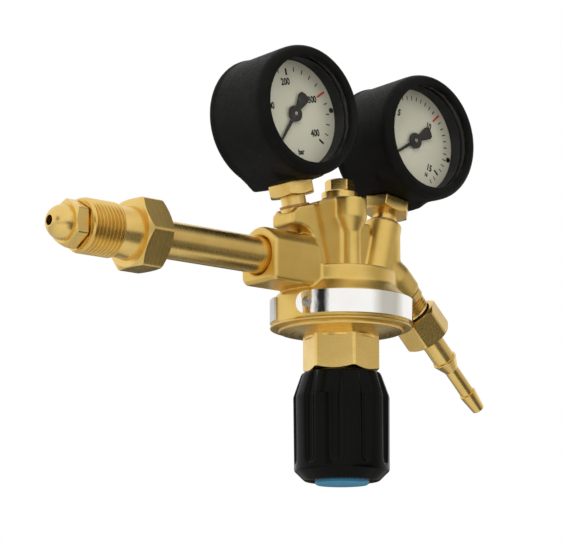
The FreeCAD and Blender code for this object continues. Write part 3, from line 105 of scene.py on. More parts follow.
class Look:
    """Node tree of one material, with its main shader and coordinates."""

    def __init__(self, name: str, coordinates: str = "Object") -> None:
        """Start a material.

        Args:
            name: Name of the material.
            coordinates: Which texture coordinates its patterns follow.
        """
        self.material = bpy.data.materials.new(name)
        self.material.use_nodes = True
        self.tree = self.material.node_tree
        self.tree.nodes.clear()
        self.shader = self.tree.nodes.new("ShaderNodeBsdfPrincipled")
        out = self.tree.nodes.new("ShaderNodeOutputMaterial")
        self.tree.links.new(self.shader.outputs[0], out.inputs["Surface"])
        self.where = self.tree.nodes.new("ShaderNodeTexCoord").outputs[coordinates]

    def set(self, **values: object) -> None:
        """Set plain values on the main shader, by socket name with _ for a space."""
        for key, value in values.items():
            self.shader.inputs[key.replace("_", " ")].default_value = value

    def link(self, source: bpy.types.NodeSocket, socket: str) -> None:
        """Link a socket to one of the main shader's."""
        self.tree.links.new(source, self.shader.inputs[socket])

    def mapped(self, turn: Triple, scale: Triple,
               shift: Triple = (0.0, 0.0, 0.0)) -> bpy.types.NodeSocket:
        """Coordinates that are turned, then stretched and shifted.

        Args:
            turn: Euler angles.
            scale: Factor along each turned axis.
            shift: Added to each stretched coordinate.

        Returns:
            Socket with the new coordinates.
        """
        turned = self.tree.nodes.new("ShaderNodeMapping")
        turned.inputs["Rotation"].default_value = turn
        stretched = self.tree.nodes.new("ShaderNodeMapping")
        stretched.inputs["Scale"].default_value = scale
        stretched.inputs["Location"].default_value = shift
        self.tree.links.new(self.where, turned.inputs["Vector"])
        self.tree.links.new(turned.outputs[0], stretched.inputs["Vector"])
        return stretched.outputs[0]

    def noise(self, scale: float, detail: float = 3.0, rough: float = 0.5,
              vector: bpy.types.NodeSocket | None = None) -> bpy.types.NodeSocket:
        """Noise value.

        Args:
            scale: Size of the pattern, in cells per unit of the coordinates.
            detail: Octaves.
            rough: Weight of the finer octaves.
            vector: Coordinates, the material's own when left out.

        Returns:
            Socket with a value around one half.
        """
        node = self.tree.nodes.new("ShaderNodeTexNoise")
        node.inputs["Scale"].default_value = scale
        node.inputs["Detail"].default_value = detail
        node.inputs["Roughness"].default_value = rough
        self.tree.links.new(vector or self.where, node.inputs["Vector"])
        return node.outputs[0]

    def ranged(self, value: bpy.types.NodeSocket, low: float, high: float,
               start: float = 0.3, end: float = 0.7) -> bpy.types.NodeSocket:
        """Value stretched to a new range and held at its ends.

        Args:
            value: Socket with the value.
            low: Result at the start.
            high: Result at the end.
            start: Value that gives the first result.
            end: Value that gives the second result.

        Returns:
            Socket with the result.
        """
        node = self.tree.nodes.new("ShaderNodeMapRange")
        node.inputs["From Min"].default_value = start
        node.inputs["From Max"].default_value = end
        node.inputs["To Min"].default_value = low
        node.inputs["To Max"].default_value = high
        self.tree.links.new(value, node.inputs["Value"])
        return node.outputs[0]

    def blended(self, value: bpy.types.NodeSocket, first: Triple, second: Triple) -> None:
        """Blend the base colour from two.

        Args:
            value: Share of the second colour, from 0 to 1.
            first: Colour at 0.
            second: Colour at 1.
        """
        node = self.tree.nodes.new("ShaderNodeMix")
        node.data_type = "RGBA"
        node.inputs["A"].default_value = (*first, 1.0)
        node.inputs["B"].default_value = (*second, 1.0)
        self.tree.links.new(value, node.inputs["Factor"])
        self.link(next(s for s in node.outputs if s.type == "RGBA"), "Base Color")

    def clouded(self, scale: float, first: Triple, second: Triple) -> None:
        """Let the base colour drift between two, in clouds of a scale."""
        self.blended(self.ranged(self.noise(scale), 0.0, 1.0), first, second)

    def roughened(self, value: bpy.types.NodeSocket, low: float, high: float) -> None:
        """Let the roughness follow a value, between two limits."""
        self.link(self.ranged(value, low, high), "Roughness")

    def bump(self, height: bpy.types.NodeSocket, depth: float, strength: float,
             under: bpy.types.NodeSocket | None = None) -> bpy.types.NodeSocket:
        """Bump from a height value.

        Args:
            height: Height from 0 to 1.
            depth: Length that 1 stands for.
            strength: Share of the bump that shows.
            under: Normal of a bump below this one.

        Returns:
            Socket with the bumped normal.
        """
        node = self.tree.nodes.new("ShaderNodeBump")
        node.inputs["Strength"].default_value = strength
        node.inputs["Distance"].default_value = depth
        self.tree.links.new(height, node.inputs["Height"])
        if under:
            self.tree.links.new(under, node.inputs["Normal"])
        return node.outputs[0]


@dataclass(frozen=True)
class ForgedBrass:
    """Hot-pressed brass with a fine blasted grain and slight tarnish."""

    name: str = "forged brass"
    light: Triple = (0.78, 0.55, 0.165)
    dark: Triple = (0.70, 0.47, 0.125)
    rough: float = 0.36
    clouds: float = 70.0
    wave: float = 140.0
    wave_depth: float = 0.0003
    grain: float = 3200.0
    grain_depth: float = 0.00001
    relief: float = 0.22

    def make(self) -> bpy.types.Material:
        """Make the material.

        Returns:
            The material.
        """
        look = Look(self.name)
        look.clouded(self.clouds, self.light, self.dark)
        look.set(Metallic=1.0)
        look.roughened(look.noise(900, 4, 0.6), self.rough - 0.03, self.rough + 0.06)
        wave = look.bump(look.noise(self.wave, 2), self.wave_depth, self.relief)
        grain = look.noise(self.grain, 2)
        look.link(look.bump(grain, self.grain_depth, self.relief, wave), "Normal")
        return look.material


@dataclass(frozen=True)
class TurnedBrass:
    """Brass off the lathe, with fine rings round its axis."""

    axis: Axis
    light: Triple = (0.84, 0.60, 0.205)
    dark: Triple = (0.76, 0.51, 0.155)
    rough: float = 0.27
    clouds: float = 90.0
    rings: Triple = (5200.0, 40.0, 40.0)
    ring_depth: float = 0.000004
    relief: float = 0.3

    def make(self) -> bpy.types.Material:
        """Make the material.

        Returns:
            The material.
        """
        look = Look("turned brass " + self.axis.name.lower().replace("_", " "))
        look.clouded(self.clouds, self.light, self.dark)
        look.set(Metallic=1.0)
        rings = look.noise(1.0, 2, 0.6, look.mapped(self.axis.value, self.rings))
        look.roughened(rings, self.rough - 0.03, self.rough + 0.04)
        look.link(look.bump(rings, self.ring_depth, self.relief), "Normal")
        return look.material


@dataclass(frozen=True)
class Rubber:
    """Moulded black rubber with a matt skin and a little dust."""

    name: str = "black rubber"
    deep: Triple = (0.0035, 0.0035, 0.003)
    dusty: Triple = (0.008, 0.008, 0.0065)
    rough: float = 0.52
    gloss: float = 0.08
    skin: float = 1800.0
    skin_depth: float = 0.00005
    relief: float = 0.35

    def make(self) -> bpy.types.Material:
        """Make the material.

        Returns:
            The material.
        """
        look = Look(self.name)
        dust = look.ranged(look.noise(55, 5, 0.65), 0.0, 1.0, 0.42, 0.75)
        look.blended(dust, self.deep, self.dusty)
        look.roughened(look.noise(700), self.rough - 0.07, self.rough + 0.10)
        skin = look.noise(self.skin, 4, 0.6)
        look.link(look.bump(skin, self.skin_depth, self.relief), "Normal")
        look.set(Specular_IOR_Level=self.gloss)
        return look.material


@dataclass(frozen=True)
class Plastic:
    """Moulded plastic, paint or ink."""

    name: str
    light: Triple
    dark: Triple
    rough: float
    gloss: float = 0.5
    clouds: float = 60.0
    grain: float = 1500.0
    grain_depth: float = 0.00002
    relief: float = 0.3

    def make(self) -> bpy.types.Material:
        """Make the material.

        Returns:
            The material.
        """
        look = Look(self.name)
        look.clouded(self.clouds, self.light, self.dark)
        look.roughened(look.noise(400, 4, 0.6), self.rough - 0.04, self.rough + 0.08)
        look.link(look.bump(look.noise(self.grain), self.grain_depth, self.relief), "Normal")
        look.set(Specular_IOR_Level=self.gloss)
        return look.material


@dataclass(frozen=True)
class BrightMetal:
    """Plated or drawn metal with faint brushing and waves."""

    name: str
    light: Triple
    dark: Triple
    rough: float
    clouds: float = 120.0
    brushing: Triple = (900.0, 900.0, 60.0)
    wave: float = 110.0
    wave_depth: float = 0.0004
    relief: float = 0.3

    def make(self) -> bpy.types.Material:
        """Make the material.

        Returns:
            The material.
        """
        look = Look(self.name)
        look.clouded(self.clouds, self.light, self.dark)
        look.set(Metallic=1.0)
        lines = look.noise(1.0, 3, 0.6, look.mapped((0.0, 0.0, 0.0), self.brushing))
        look.roughened(lines, self.rough * 0.7, self.rough * 1.5)
        look.link(look.bump(look.noise(self.wave), self.wave_depth, self.relief), "Normal")
        return look.material


@dataclass(frozen=True)
class Glass:
    """Clear window."""

    name: str = "clear window"
    tint: Triple = (0.97, 0.98, 0.98)
    index: float = 1.01
    cover: float = 0.06

    def make(self) -> bpy.types.Material:
        """Make the material.

        Returns:
            The material.
        """
        look = Look(self.name)
        look.set(Base_Color=(*self.tint, 1.0), Transmission_Weight=1.0, IOR=self.index,
                 Alpha=self.cover)
        look.roughened(look.noise(300), 0.01, 0.03)
        return look.material


# Making of pieces

def node(name: str) -> bpy.types.Object:
    """Object of a CAD node."""
    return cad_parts[name]


def dress(piece: bpy.types.Object, material: bpy.types.Material) -> None:
    """Give a piece or a node one material."""
    piece.data.materials.clear()
    piece.data.materials.append(material)


def piece_of(name: str, work: bmesh.types.BMesh, smooth: float = SMOOTH) -> bpy.types.Object:
    """Make an object from a finished bmesh.

    Args:
        name: Name of the piece.
        work: Mesh, which is freed.
        smooth: Angle under which an edge is shaded smooth.

    Returns:
        The linked object.
    """
    mesh = bpy.data.meshes.new(name)
    for face in work.faces:
        face.smooth = True
    for edge in work.edges:
        sharp = len(edge.link_faces) == 2 and edge.calc_face_angle(0.0) > smooth
        edge.smooth = not sharp
    work.to_mesh(mesh)
    work.free()
    piece = bpy.data.objects.new(name, mesh)
    bpy.context.scene.collection.objects.link(piece)
    log.info("%s: %d faces", name, len(mesh.polygons))
    return piece


def merged_copy(name: str) -> bmesh.types.BMesh:
    """Copy a CAD node's mesh and merge its vertices.

    Args:
        name: The CAD node.

    Returns:
        The copy.
    """
    work = bmesh.new()
    work.from_mesh(node(name).data)
    bmesh.ops.remove_doubles(work, verts=work.verts, dist=SAME)
    return work


def apply_modifiers(piece: bpy.types.Object) -> None:
    """Apply every modifier.

    Args:
        piece: Piece that has them.
    """
    graph = bpy.context.evaluated_depsgraph_get()
    graph.update()
    mesh = bpy.data.meshes.new_from_object(piece.evaluated_get(graph))
    piece.modifiers.clear()
    old = piece.data
    piece.data = mesh
    bpy.data.meshes.remove(old)


@dataclass(frozen=True)
class Rounding:
    """How far the edges of a moulded or forged piece are rounded."""

    voxel: float    # size of the grid that the piece is cut into
    passes: int     # how often the grid is smoothed
    keep: float     # share of the faces that stay

    def apply(self, piece: bpy.types.Object) -> None:
        """Round every edge of a closed piece.

        Args:
            piece: Piece whose mesh is closed.
        """
        grid = piece.modifiers.new("Grid", "REMESH")
        grid.mode = "VOXEL"
        grid.voxel_size = self.voxel
        apply_modifiers(piece)
        work = bmesh.new()
        work.from_mesh(piece.data)
        for _ in range(self.passes):
            bmesh.ops.smooth_vert(work, verts=work.verts, factor=0.5, use_axis_x=True,
                                  use_axis_y=True, use_axis_z=True)
        for face in work.faces:
            face.smooth = True
        work.to_mesh(piece.data)
        work.free()
        fewer = piece.modifiers.new("Fewer", "DECIMATE")
        fewer.ratio = self.keep
        apply_modifiers(piece)
        for polygon in piece.data.polygons:
            polygon.use_smooth = True
        log.info("%s rounded: %d faces", piece.name, len(piece.data.polygons))


def rounded_node(name: str, new_name: str, rounding: Rounding) -> bpy.types.Object:
    """Copy a CAD node and round its edges.

    Args:
        name: The CAD node.
        new_name: Name of the piece.
        rounding: How far its edges are rounded.

    Returns:
        The piece.
    """
    piece = piece_of(new_name, merged_copy(name))
    rounding.apply(piece)
    return piece


def words(text: str, height: float, bold: float) -> bmesh.types.BMesh:
    """Make flat lettering in the XZ plane, read from -Y, centred on the origin.

    Args:
        text: The characters.
        height: Height of a figure.
        bold: How far the strokes are thickened.

    Returns:
        Its mesh.
    """
    curve = bpy.data.curves.new("words", "FONT")
    curve.body = text
    curve.resolution_u = 3
    curve.extrude = 0.01
    curve.offset = bold / height * FONT_SHARE
    holder = bpy.data.objects.new("words", curve)
    bpy.context.scene.collection.objects.link(holder)
    graph = bpy.context.evaluated_depsgraph_get()
    graph.update()
    mesh = bpy.data.meshes.new_from_object(holder.evaluated_get(graph))
    bpy.data.objects.remove(holder)
    work = bmesh.new()
    work.from_mesh(mesh)
    bpy.data.meshes.remove(mesh)
    low = Vector((min(v.co[i] for v in work.verts) for i in range(3)))
    high = Vector((max(v.co[i] for v in work.verts) for i in range(3)))
    size = height / (high.y - low.y)
    centre = (low + high) / 2
    bmesh.ops.translate(work, verts=work.verts, vec=-centre)
    bmesh.ops.scale(work, verts=work.verts,
                    vec=(size * FIGURE_WIDTH, size, FIGURE_DEPTH / (high.z - low.z)))
    bmesh.ops.rotate(work, verts=work.verts, matrix=Matrix.Rotation(QUARTER, 3, "X"))
    return work


def add(work: bmesh.types.BMesh, part: bmesh.types.BMesh, place: Matrix) -> None:
    """Add a small mesh to another one.

    Args:
        work: Mesh that takes it.
        part: Small mesh, which is freed.
        place: Matrix that takes the small mesh to its place.
    """
    bmesh.ops.transform(part, verts=part.verts, matrix=place)
    mesh = bpy.data.meshes.new("part")
    part.to_mesh(mesh)
    part.free()
    work.from_mesh(mesh)
    bpy.data.meshes.remove(mesh)


def facing(spot: Triple, target: Vector, front: str) -> Matrix:
    """Place something so that it faces a target.

    Args:
        spot: Its place, from CENTRE.
        target: Point that it faces.
        front: Name of its own axis that points there.

    Returns:
        The matrix.
    """
    place = Vector(spot) + CENTRE
    aim = (target - place).to_track_quat(front, "Y")
    return Matrix.Translation(place) @ aim.to_matrix().to_4x4()


# Surroundings

@dataclass(frozen=True)
class Lamp:
    """Soft lamp that faces the object and that metal doesn't mirror."""

    name: str
    spot: Triple
    size: tuple[float, float]
    power: float          # watts
    aside: float = 0.02   # how far beside the body's axis it aims

    def make(self) -> None:
        """Set up the lamp."""
        data = bpy.data.lights.new(self.name, "AREA")
        data.shape = "RECTANGLE"
        data.size, data.size_y = self.size
        data.energy = self.power
        holder = bpy.data.objects.new(self.name, data)
        holder.matrix_world = facing(self.spot, Vector((REACH - self.aside, 0.0, 0.0)), "-Z")
        holder.visible_glossy = False
        bpy.context.scene.collection.objects.link(holder)


@dataclass(frozen=True)
class Card:
    """Evenly lit card that metal mirrors and the camera doesn't see."""

    name: str
    spot: Triple
    size: tuple[float, float]
    shade: float                                 # brightness of its middle
    tint: Triple = (1.0, 0.95, 0.86)
    fade: tuple[float, float] = (0.35, 1.0)      # where it fades out, as shares of its half size

    def glow(self) -> bpy.types.Material:
        """Make a faint glow that fades out toward the card's edges.

        Returns:
            The material.
        """
        look = Look(self.name, "UV")
        glow = (*(self.shade * part for part in self.tint), 1.0)
        look.set(Base_Color=(0.0, 0.0, 0.0, 1.0), Roughness=1.0, Specular_IOR_Level=0.0,
                 Emission_Color=glow, Emission_Strength=1.0)
        centred = look.mapped((0.0, 0.0, 0.0), (2.0, 2.0, 0.0), (-1.0, -1.0, 0.0))
        reach = look.tree.nodes.new("ShaderNodeVectorMath")
        reach.operation = "LENGTH"
        look.tree.links.new(centred, reach.inputs[0])
        look.link(look.ranged(reach.outputs["Value"], 1.0, 0.0, *self.fade), "Alpha")
        return look.material

    def make(self) -> None:
        """Set up the card."""
        work = bmesh.new()
        work.loops.layers.uv.new("UVMap")
        bmesh.ops.create_grid(work, x_segments=1, y_segments=1, size=0.5, calc_uvs=True)
        bmesh.ops.scale(work, verts=work.verts, vec=(*self.size, 1.0))
        bmesh.ops.transform(work, verts=work.verts, matrix=facing(self.spot, CENTRE, "Z"))
        piece = piece_of(self.name, work)
        dress(piece, self.glow())
        piece.visible_camera = False
        piece.visible_shadow = False
        piece.visible_diffuse = False
        piece.visible_transmission = False


@dataclass
class Studio:
    """Camera, surroundings, floor, lamps and cards."""

    lens: float = 142.95                         # millimetres
    sensor: float = 36.0                         # millimetres
    shift_x: float = 0.0075
    shift_y: float = 0.02903
    azimuth: float = math.radians(-40.954)
    elevation: float = math.radians(-10.595)
    roll: float = math.radians(-0.122)
    distance: float = 0.98652
    aside: float = 0.028118
    above: float = 0.008716
    nearest: float = 0.01
    matt_light: float = 0.55                     # what matt surfaces get of the white around
    floor_height: float = -0.42
    floor_radius: float = 2.5
    floor_colour: Triple = (0.86, 0.86, 0.85)
    lamps: tuple[Lamp, ...] = (
        Lamp("key", (-0.75, -0.55, 0.65), (1.2, 1.2), 10.0),
        Lamp("fill", (0.5, -1.0, 0.35), (0.6, 0.6), 2.7))
    cards: tuple[Card, ...] = (
        Card("card left", (-0.98, -0.30, 0.18), (0.50, 0.6), 0.02),
        Card("card front", (0.90, -1.02, 0.25), (1.9, 1.7), 0.56),
        Card("card low", (0.15, -0.85, -0.20), (1.9, 0.46), 0.10),
        Card("card corner", (0.18, -0.38, -0.31), (0.95, 0.55), 0.09),
        Card("card above", (0.75, -0.15, 0.72), (1.4, 1.2), 0.05),
        Card("card right", (0.75, 0.80, -0.22), (1.3, 1.3), 0.03),
        Card("card below", (0.20, 0.20, -0.38), (0.8, 0.6), 0.15))

    def directions(self) -> tuple[Vector, Vector, Vector]:
        """Work out the camera's own directions.

        Returns:
            Right, up and backward.
        """
        a, e, r = self.azimuth, self.elevation, self.roll
        back = Vector((math.sin(a) * math.cos(e), -math.cos(a) * math.cos(e), math.sin(e)))
        flat = Vector((math.cos(a), math.sin(a), 0.0))
        up = back.cross(flat)
        right = math.cos(r) * flat + math.sin(r) * up
        return right, -math.sin(r) * flat + math.cos(r) * up, back

    def camera(self) -> None:
        """Set the camera where the photograph was taken."""
        right, up, back = self.directions()
        eye = self.distance * back - self.aside * right - self.above * up + CENTRE
        data = bpy.data.cameras.new("camera")
        data.sensor_width = self.sensor
        data.lens = self.lens
        data.shift_x = self.shift_x
        data.shift_y = self.shift_y
        data.clip_start = self.nearest
        holder = bpy.data.objects.new("camera", data)
        turn = Matrix((right, up, back)).transposed().to_4x4()
        holder.matrix_world = Matrix.Translation(eye) @ turn
        bpy.context.scene.collection.objects.link(holder)
        bpy.context.scene.camera = holder

    def world(self) -> None:
        """Set white surroundings, dimmer for the light that falls on matt surfaces."""
        world = bpy.data.worlds.new("studio")
        bpy.context.scene.world = world
        world.use_nodes = True
        tree = world.node_tree
        tree.nodes.clear()
        path = tree.nodes.new("ShaderNodeLightPath")
        sees = path.outputs["Is Camera Ray"]
        for name in ("Is Glossy Ray", "Is Transmission Ray"):
            either = tree.nodes.new("ShaderNodeMath")
            either.operation = "MAXIMUM"
            tree.links.new(sees, either.inputs[0])
            tree.links.new(path.outputs[name], either.inputs[1])
            sees = either.outputs[0]
        level = tree.nodes.new("ShaderNodeMapRange")
        level.inputs["To Min"].default_value = self.matt_light
        level.inputs["To Max"].default_value = 1.0
        tree.links.new(sees, level.inputs["Value"])
        shade = tree.nodes.new("ShaderNodeBackground")
        shade.inputs["Color"].default_value = (1.0, 1.0, 1.0, 1.0)
        tree.links.new(level.outputs[0], shade.inputs["Strength"])
        out = tree.nodes.new("ShaderNodeOutputWorld")
        tree.links.new(shade.outputs[0], out.inputs["Surface"])

    def floor(self) -> None:
        """Lay a plain pale floor."""
        work = bmesh.new()
        bmesh.ops.create_circle(work, cap_ends=True, segments=64, radius=self.floor_radius)
        bmesh.ops.translate(work, verts=work.verts, vec=(REACH, 0.0, self.floor_height))
        piece = piece_of("floor", work)
        look = Look("floor")
        look.set(Base_Color=(*self.floor_colour, 1.0), Roughness=0.9)
        dress(piece, look.material)

    def build(self) -> None:
        """Set up the whole studio."""
        bpy.context.scene.view_settings.view_transform = "Standard"
        self.camera()
        self.world()
        self.floor()
        for item in (*self.lamps, *self.cards):
            item.make()
        log.info("studio done")


# Sub-assemblies

@dataclass
class Forging:
    """Forged body, with the bonnet and the top plug that screw into it.

    The solid's high-pressure boss leaves its gauge port hardly any wall at the oblique sides and
    opens it to the hollow underside. Here its sides are fuller and the underside is closed.
    """

    rounding: Rounding = Rounding(voxel=0.0005, passes=5, keep=0.5)
    ridge: float = 0.0036              # X of the boss's ridges, in the gauge's frame
    ridge_half: float = 0.0086         # half the boss's depth there
    slant: float = 0.4                 # how fast the solid's oblique sides draw in
    fuller_slant: float = 0.15         # how fast they draw in here
    corner: float = -0.0095            # X where the boss's end corner starts
    corner_slant: float = 1.7
    boss_height: float = -0.05         # a height inside the boss, along the gauge's axis
    hollow: Triple = (-0.0310, 0.0, 0.0058)     # centre of the underside's curve, from CENTRE
    hollow_radius: float = 0.0092
    hollow_angles: range = range(10, 91, 16)    # directions that are closed, in degrees
    plug_radius: float = 0.0068
    plug_depth: float = 0.0065
    plug_height: float = -0.0499

    def closed(self, work: bmesh.types.BMesh) -> None:
        """Close the high-pressure port where it reaches the boss's hollow underside.

        Args:
            work: Mesh of the body, in the object's frame.
        """
        place = Side.HIGH.place @ Matrix.Translation((0.0, 0.0, self.plug_height))
        centre = Vector(self.hollow) + CENTRE
        for angle in self.hollow_angles:
            turn = math.radians(angle)
            out = Vector((math.cos(turn), 0.0, math.sin(turn)))
            plug = bmesh.new()
            bmesh.ops.create_cone(plug, cap_ends=True, segments=48, radius1=self.plug_radius,
                                  radius2=self.plug_radius, depth=self.plug_depth, matrix=place)
            cut = bmesh.ops.bisect_plane(plug, geom=plug.verts[:] + plug.edges[:] + plug.faces[:],
                                         plane_co=centre + self.hollow_radius * out,
                                         plane_no=out, clear_inner=True)
            edges = [item for item in cut["geom_cut"] if isinstance(item, bmesh.types.BMEdge)]
            bmesh.ops.holes_fill(plug, edges=edges)
            bmesh.ops.recalc_face_normals(plug, faces=plug.faces)
            if len(plug.faces) > 3:
                add(work, plug, Matrix.Identity(4))
            else:
                plug.free()

    def fuller(self, work: bmesh.types.BMesh) -> None:
        """Move the high-pressure boss's oblique sides outward, so that its port has a full wall.

        Args:
            work: Mesh of the body, in the object's frame.
        """
        place = Side.HIGH.place
        back = place.inverted()
        across = (place.to_3x3() @ Vector((1.0, 0.0, 0.0))).normalized()
        bmesh.ops.bisect_plane(work, geom=work.verts[:] + work.edges[:] + work.faces[:],
                               dist=WELD, plane_no=across,
                               plane_co=place @ Vector((self.corner, 0.0, self.boss_height)))
        for vert in work.verts:
            spot = back @ vert.co
            out = self.ridge - spot.x
            off_side = abs(abs(spot.y) - self.ridge_half + self.slant * out)
            if out < NEAR or off_side > 2 * NEAR:
                continue
            past = max(self.corner - spot.x, 0.0)
            half = self.ridge_half - self.fuller_slant * (out - past) - self.corner_slant * past
            vert.co.y = math.copysign(max(half, abs(spot.y)), spot.y)

    def build(self, brass: bpy.types.Material, turned: bpy.types.Material) -> None:
        """Round the body's edges and dress it.

        Args:
            brass: Forged finish.
            turned: Turned finish of upright pieces.
        """
        work = merged_copy("body")
        self.fuller(work)
        self.closed(work)
        piece = piece_of("forging", work)
        self.rounding.apply(piece)
        dress(piece, brass)
        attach(piece, "regulator")
        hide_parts("body")
        dress(node("bonnet"), turned)
        dress(node("top_plug"), turned)
        log.info("forging done")


@dataclass
class Thread:
    """Pipe thread wound round Z."""

    major: float
    minor: float
    pitch: float
    start: float
    end: float
    core: float                            # radius of the hole through it
    segments: int = 56                     # steps in a turn
    flank: float = math.radians(27.5)
    least_flat: float = 0.12               # narrowest crest or root, as a share of the pitch
    overrun: float = 1.5                   # turns wound past each end before it is cut
    lead_slope: float = 1.1                # how fast it rises from its root at each end
    lead_height: float = 0.0001            # its height at the very end

    def profile(self, work: bmesh.types.BMesh) -> list:
        """Draw crests and roots in the plane y = 0, along +Z.

        Args:
            work: Mesh that takes them.

        Returns:
            The line's vertices and edges.
        """
        rise = self.major - self.minor
        flat = (self.pitch - 2 * rise * math.tan(self.flank)) / 2
        flat = max(flat, self.pitch * self.least_flat)
        slope = (self.pitch - 2 * flat) / 2
        height = self.start - self.pitch * self.overrun
        points = []
        while height < self.end + self.pitch * self.overrun:
            points += [(self.minor, height), (self.minor, height + flat),
                       (self.major, height + flat + slope),
                       (self.major, height + 2 * flat + slope)]
            height += self.pitch
        line = [work.verts.new((r, 0.0, z)) for r, z in points]
        return line + [work.edges.new((a, b)) for a, b in zip(line, line[1:])]

    def lead(self, work: bmesh.types.BMesh) -> None:
        """Run the thread out to its root at both ends.

        Args:
            work: Mesh of the wound thread.
        """
        for vert in work.verts:
            room = min(vert.co.z - self.start, self.end - vert.co.z)
            limit = self.minor + max(room, 0.0) * self.lead_slope + self.lead_height
            reach = math.hypot(vert.co.x, vert.co.y)
            if reach > limit:
                vert.co.x *= limit / reach
                vert.co.y *= limit / reach

    def wound(self) -> bmesh.types.BMesh:
        """Make a closed sleeve with the thread outside, along +Z.

        Returns:
            Its mesh.
        """
        work = bmesh.new()
        line = self.profile(work)
        bmesh.ops.spin(work, geom=line, cent=(0, 0, 0), axis=(0, 0, 1), angle=2 * math.pi,
                       steps=self.segments, dvec=(0, 0, self.pitch / self.segments),
                       use_merge=False)
        bmesh.ops.remove_doubles(work, verts=work.verts, dist=WELD)
        for height, up in ((self.start, -1), (self.end, 1)):
            everything = work.verts[:] + work.edges[:] + work.faces[:]
            bmesh.ops.bisect_plane(work, geom=everything, dist=WELD, plane_co=(0, 0, height),
                                   plane_no=(0, 0, up), clear_outer=True)
        self.lead(work)
        for height in (self.start, self.end):
            rim = [edge for edge in work.edges if edge.is_boundary
                   and all(abs(vert.co.z - height) < SAME for vert in edge.verts)]
            new = bmesh.ops.extrude_edge_only(work, edges=rim)["geom"]
            for vert in (item for item in new if isinstance(item, bmesh.types.BMVert)):
                reach = math.hypot(vert.co.x, vert.co.y)
                vert.co.x *= self.core / reach
                vert.co.y *= self.core / reach
        bmesh.ops.remove_doubles(work, verts=work.verts, dist=WELD)
        open_edges = [edge for edge in work.edges if edge.is_boundary]
        bmesh.ops.bridge_loops(work, edges=open_edges)
        bmesh.ops.recalc_face_normals(work, faces=work.faces)
        return work


@dataclass
class InletFitting:
    """Union nut with its thread, stem, nipple and filter."""

    root: float = 0.0099    # radius that the nut's plain shank is cut down to under the thread
    thread: Thread = field(default_factory=lambda: Thread(
        major=11.455 * MM, minor=10.29 * MM, pitch=1.814 * MM, start=125.5 * MM,
        end=142.5 * MM, core=9.6 * MM))

    def build(self, brass: bpy.types.Material) -> None:
        """Give the nut its thread and dress the fitting.

        Args:
            brass: Turned finish along the inlet.
        """
        work = merged_copy("inlet_nut")
        start, end = self.thread.start - NEAR, self.thread.end + NEAR
        for vert in work.verts:
            reach = math.hypot(vert.co.y, vert.co.z)
            if start <= REACH - vert.co.x <= end and reach > self.root:
                vert.co.y *= self.root / reach
                vert.co.z *= self.root / reach
        lay = Matrix.Translation((REACH, 0, 0)) @ Matrix.Rotation(-QUARTER, 4, "Y")
        add(work, self.thread.wound(), lay)
        piece = piece_of("inlet_union", work, THREAD_SMOOTH)
        dress(piece, brass)
        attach(piece, "inlet_nut")
        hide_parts("inlet_nut")
        for name in ("inlet_stem", "inlet_nipple", "inlet_filter"):
            dress(node(name), brass)
        log.info("inlet done")


@dataclass
class OutletFitting:
    """Threaded outlet nipple, union nut and barbed hose tail."""

    cross: float = 28.9 * MM    # where the outlet's axis crosses the inlet's, from CENTRE
    root: float = 0.0072        # radius that the nipple is cut down to under the thread
    thread: Thread = field(default_factory=lambda: Thread(
        major=8.33 * MM, minor=7.477 * MM, pitch=1.337 * MM, start=14.75 * MM,
        end=29.25 * MM, core=6.9 * MM))

    def build(self, brass: bpy.types.Material, seal: bpy.types.Material) -> None:
        """Give the nipple its thread and dress the fitting.

        Args:
            brass: Turned finish along the outlet.
            seal: Finish of the flat seal.
        """
        turn = Matrix.Rotation(QUARTER + OUTLET_ANGLE, 4, "Y")
        lay = Matrix.Translation((REACH + self.cross, 0, 0)) @ turn
        back = lay.inverted()
        work = merged_copy("outlet_nipple")
        for vert in work.verts:
            local = back @ vert.co
            reach = math.hypot(local.x, local.y)
            if local.z > self.thread.start + NEAR and reach > self.root:
                local.x *= self.root / reach
                local.y *= self.root / reach
                vert.co = lay @ local
        top = max((back @ vert.co).z for vert in work.verts)
        self.thread.end = min(self.thread.end, top)
        add(work, self.thread.wound(), lay)
        piece = piece_of("outlet_thread", work, THREAD_SMOOTH)
        dress(piece, brass)
        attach(piece, "regulator")
        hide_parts("outlet_nipple")
        dress(node("union_nut"), brass)
        dress(node("hose_tail"), brass)
        dress(node("outlet_seal"), seal)
        log.info("outlet done")


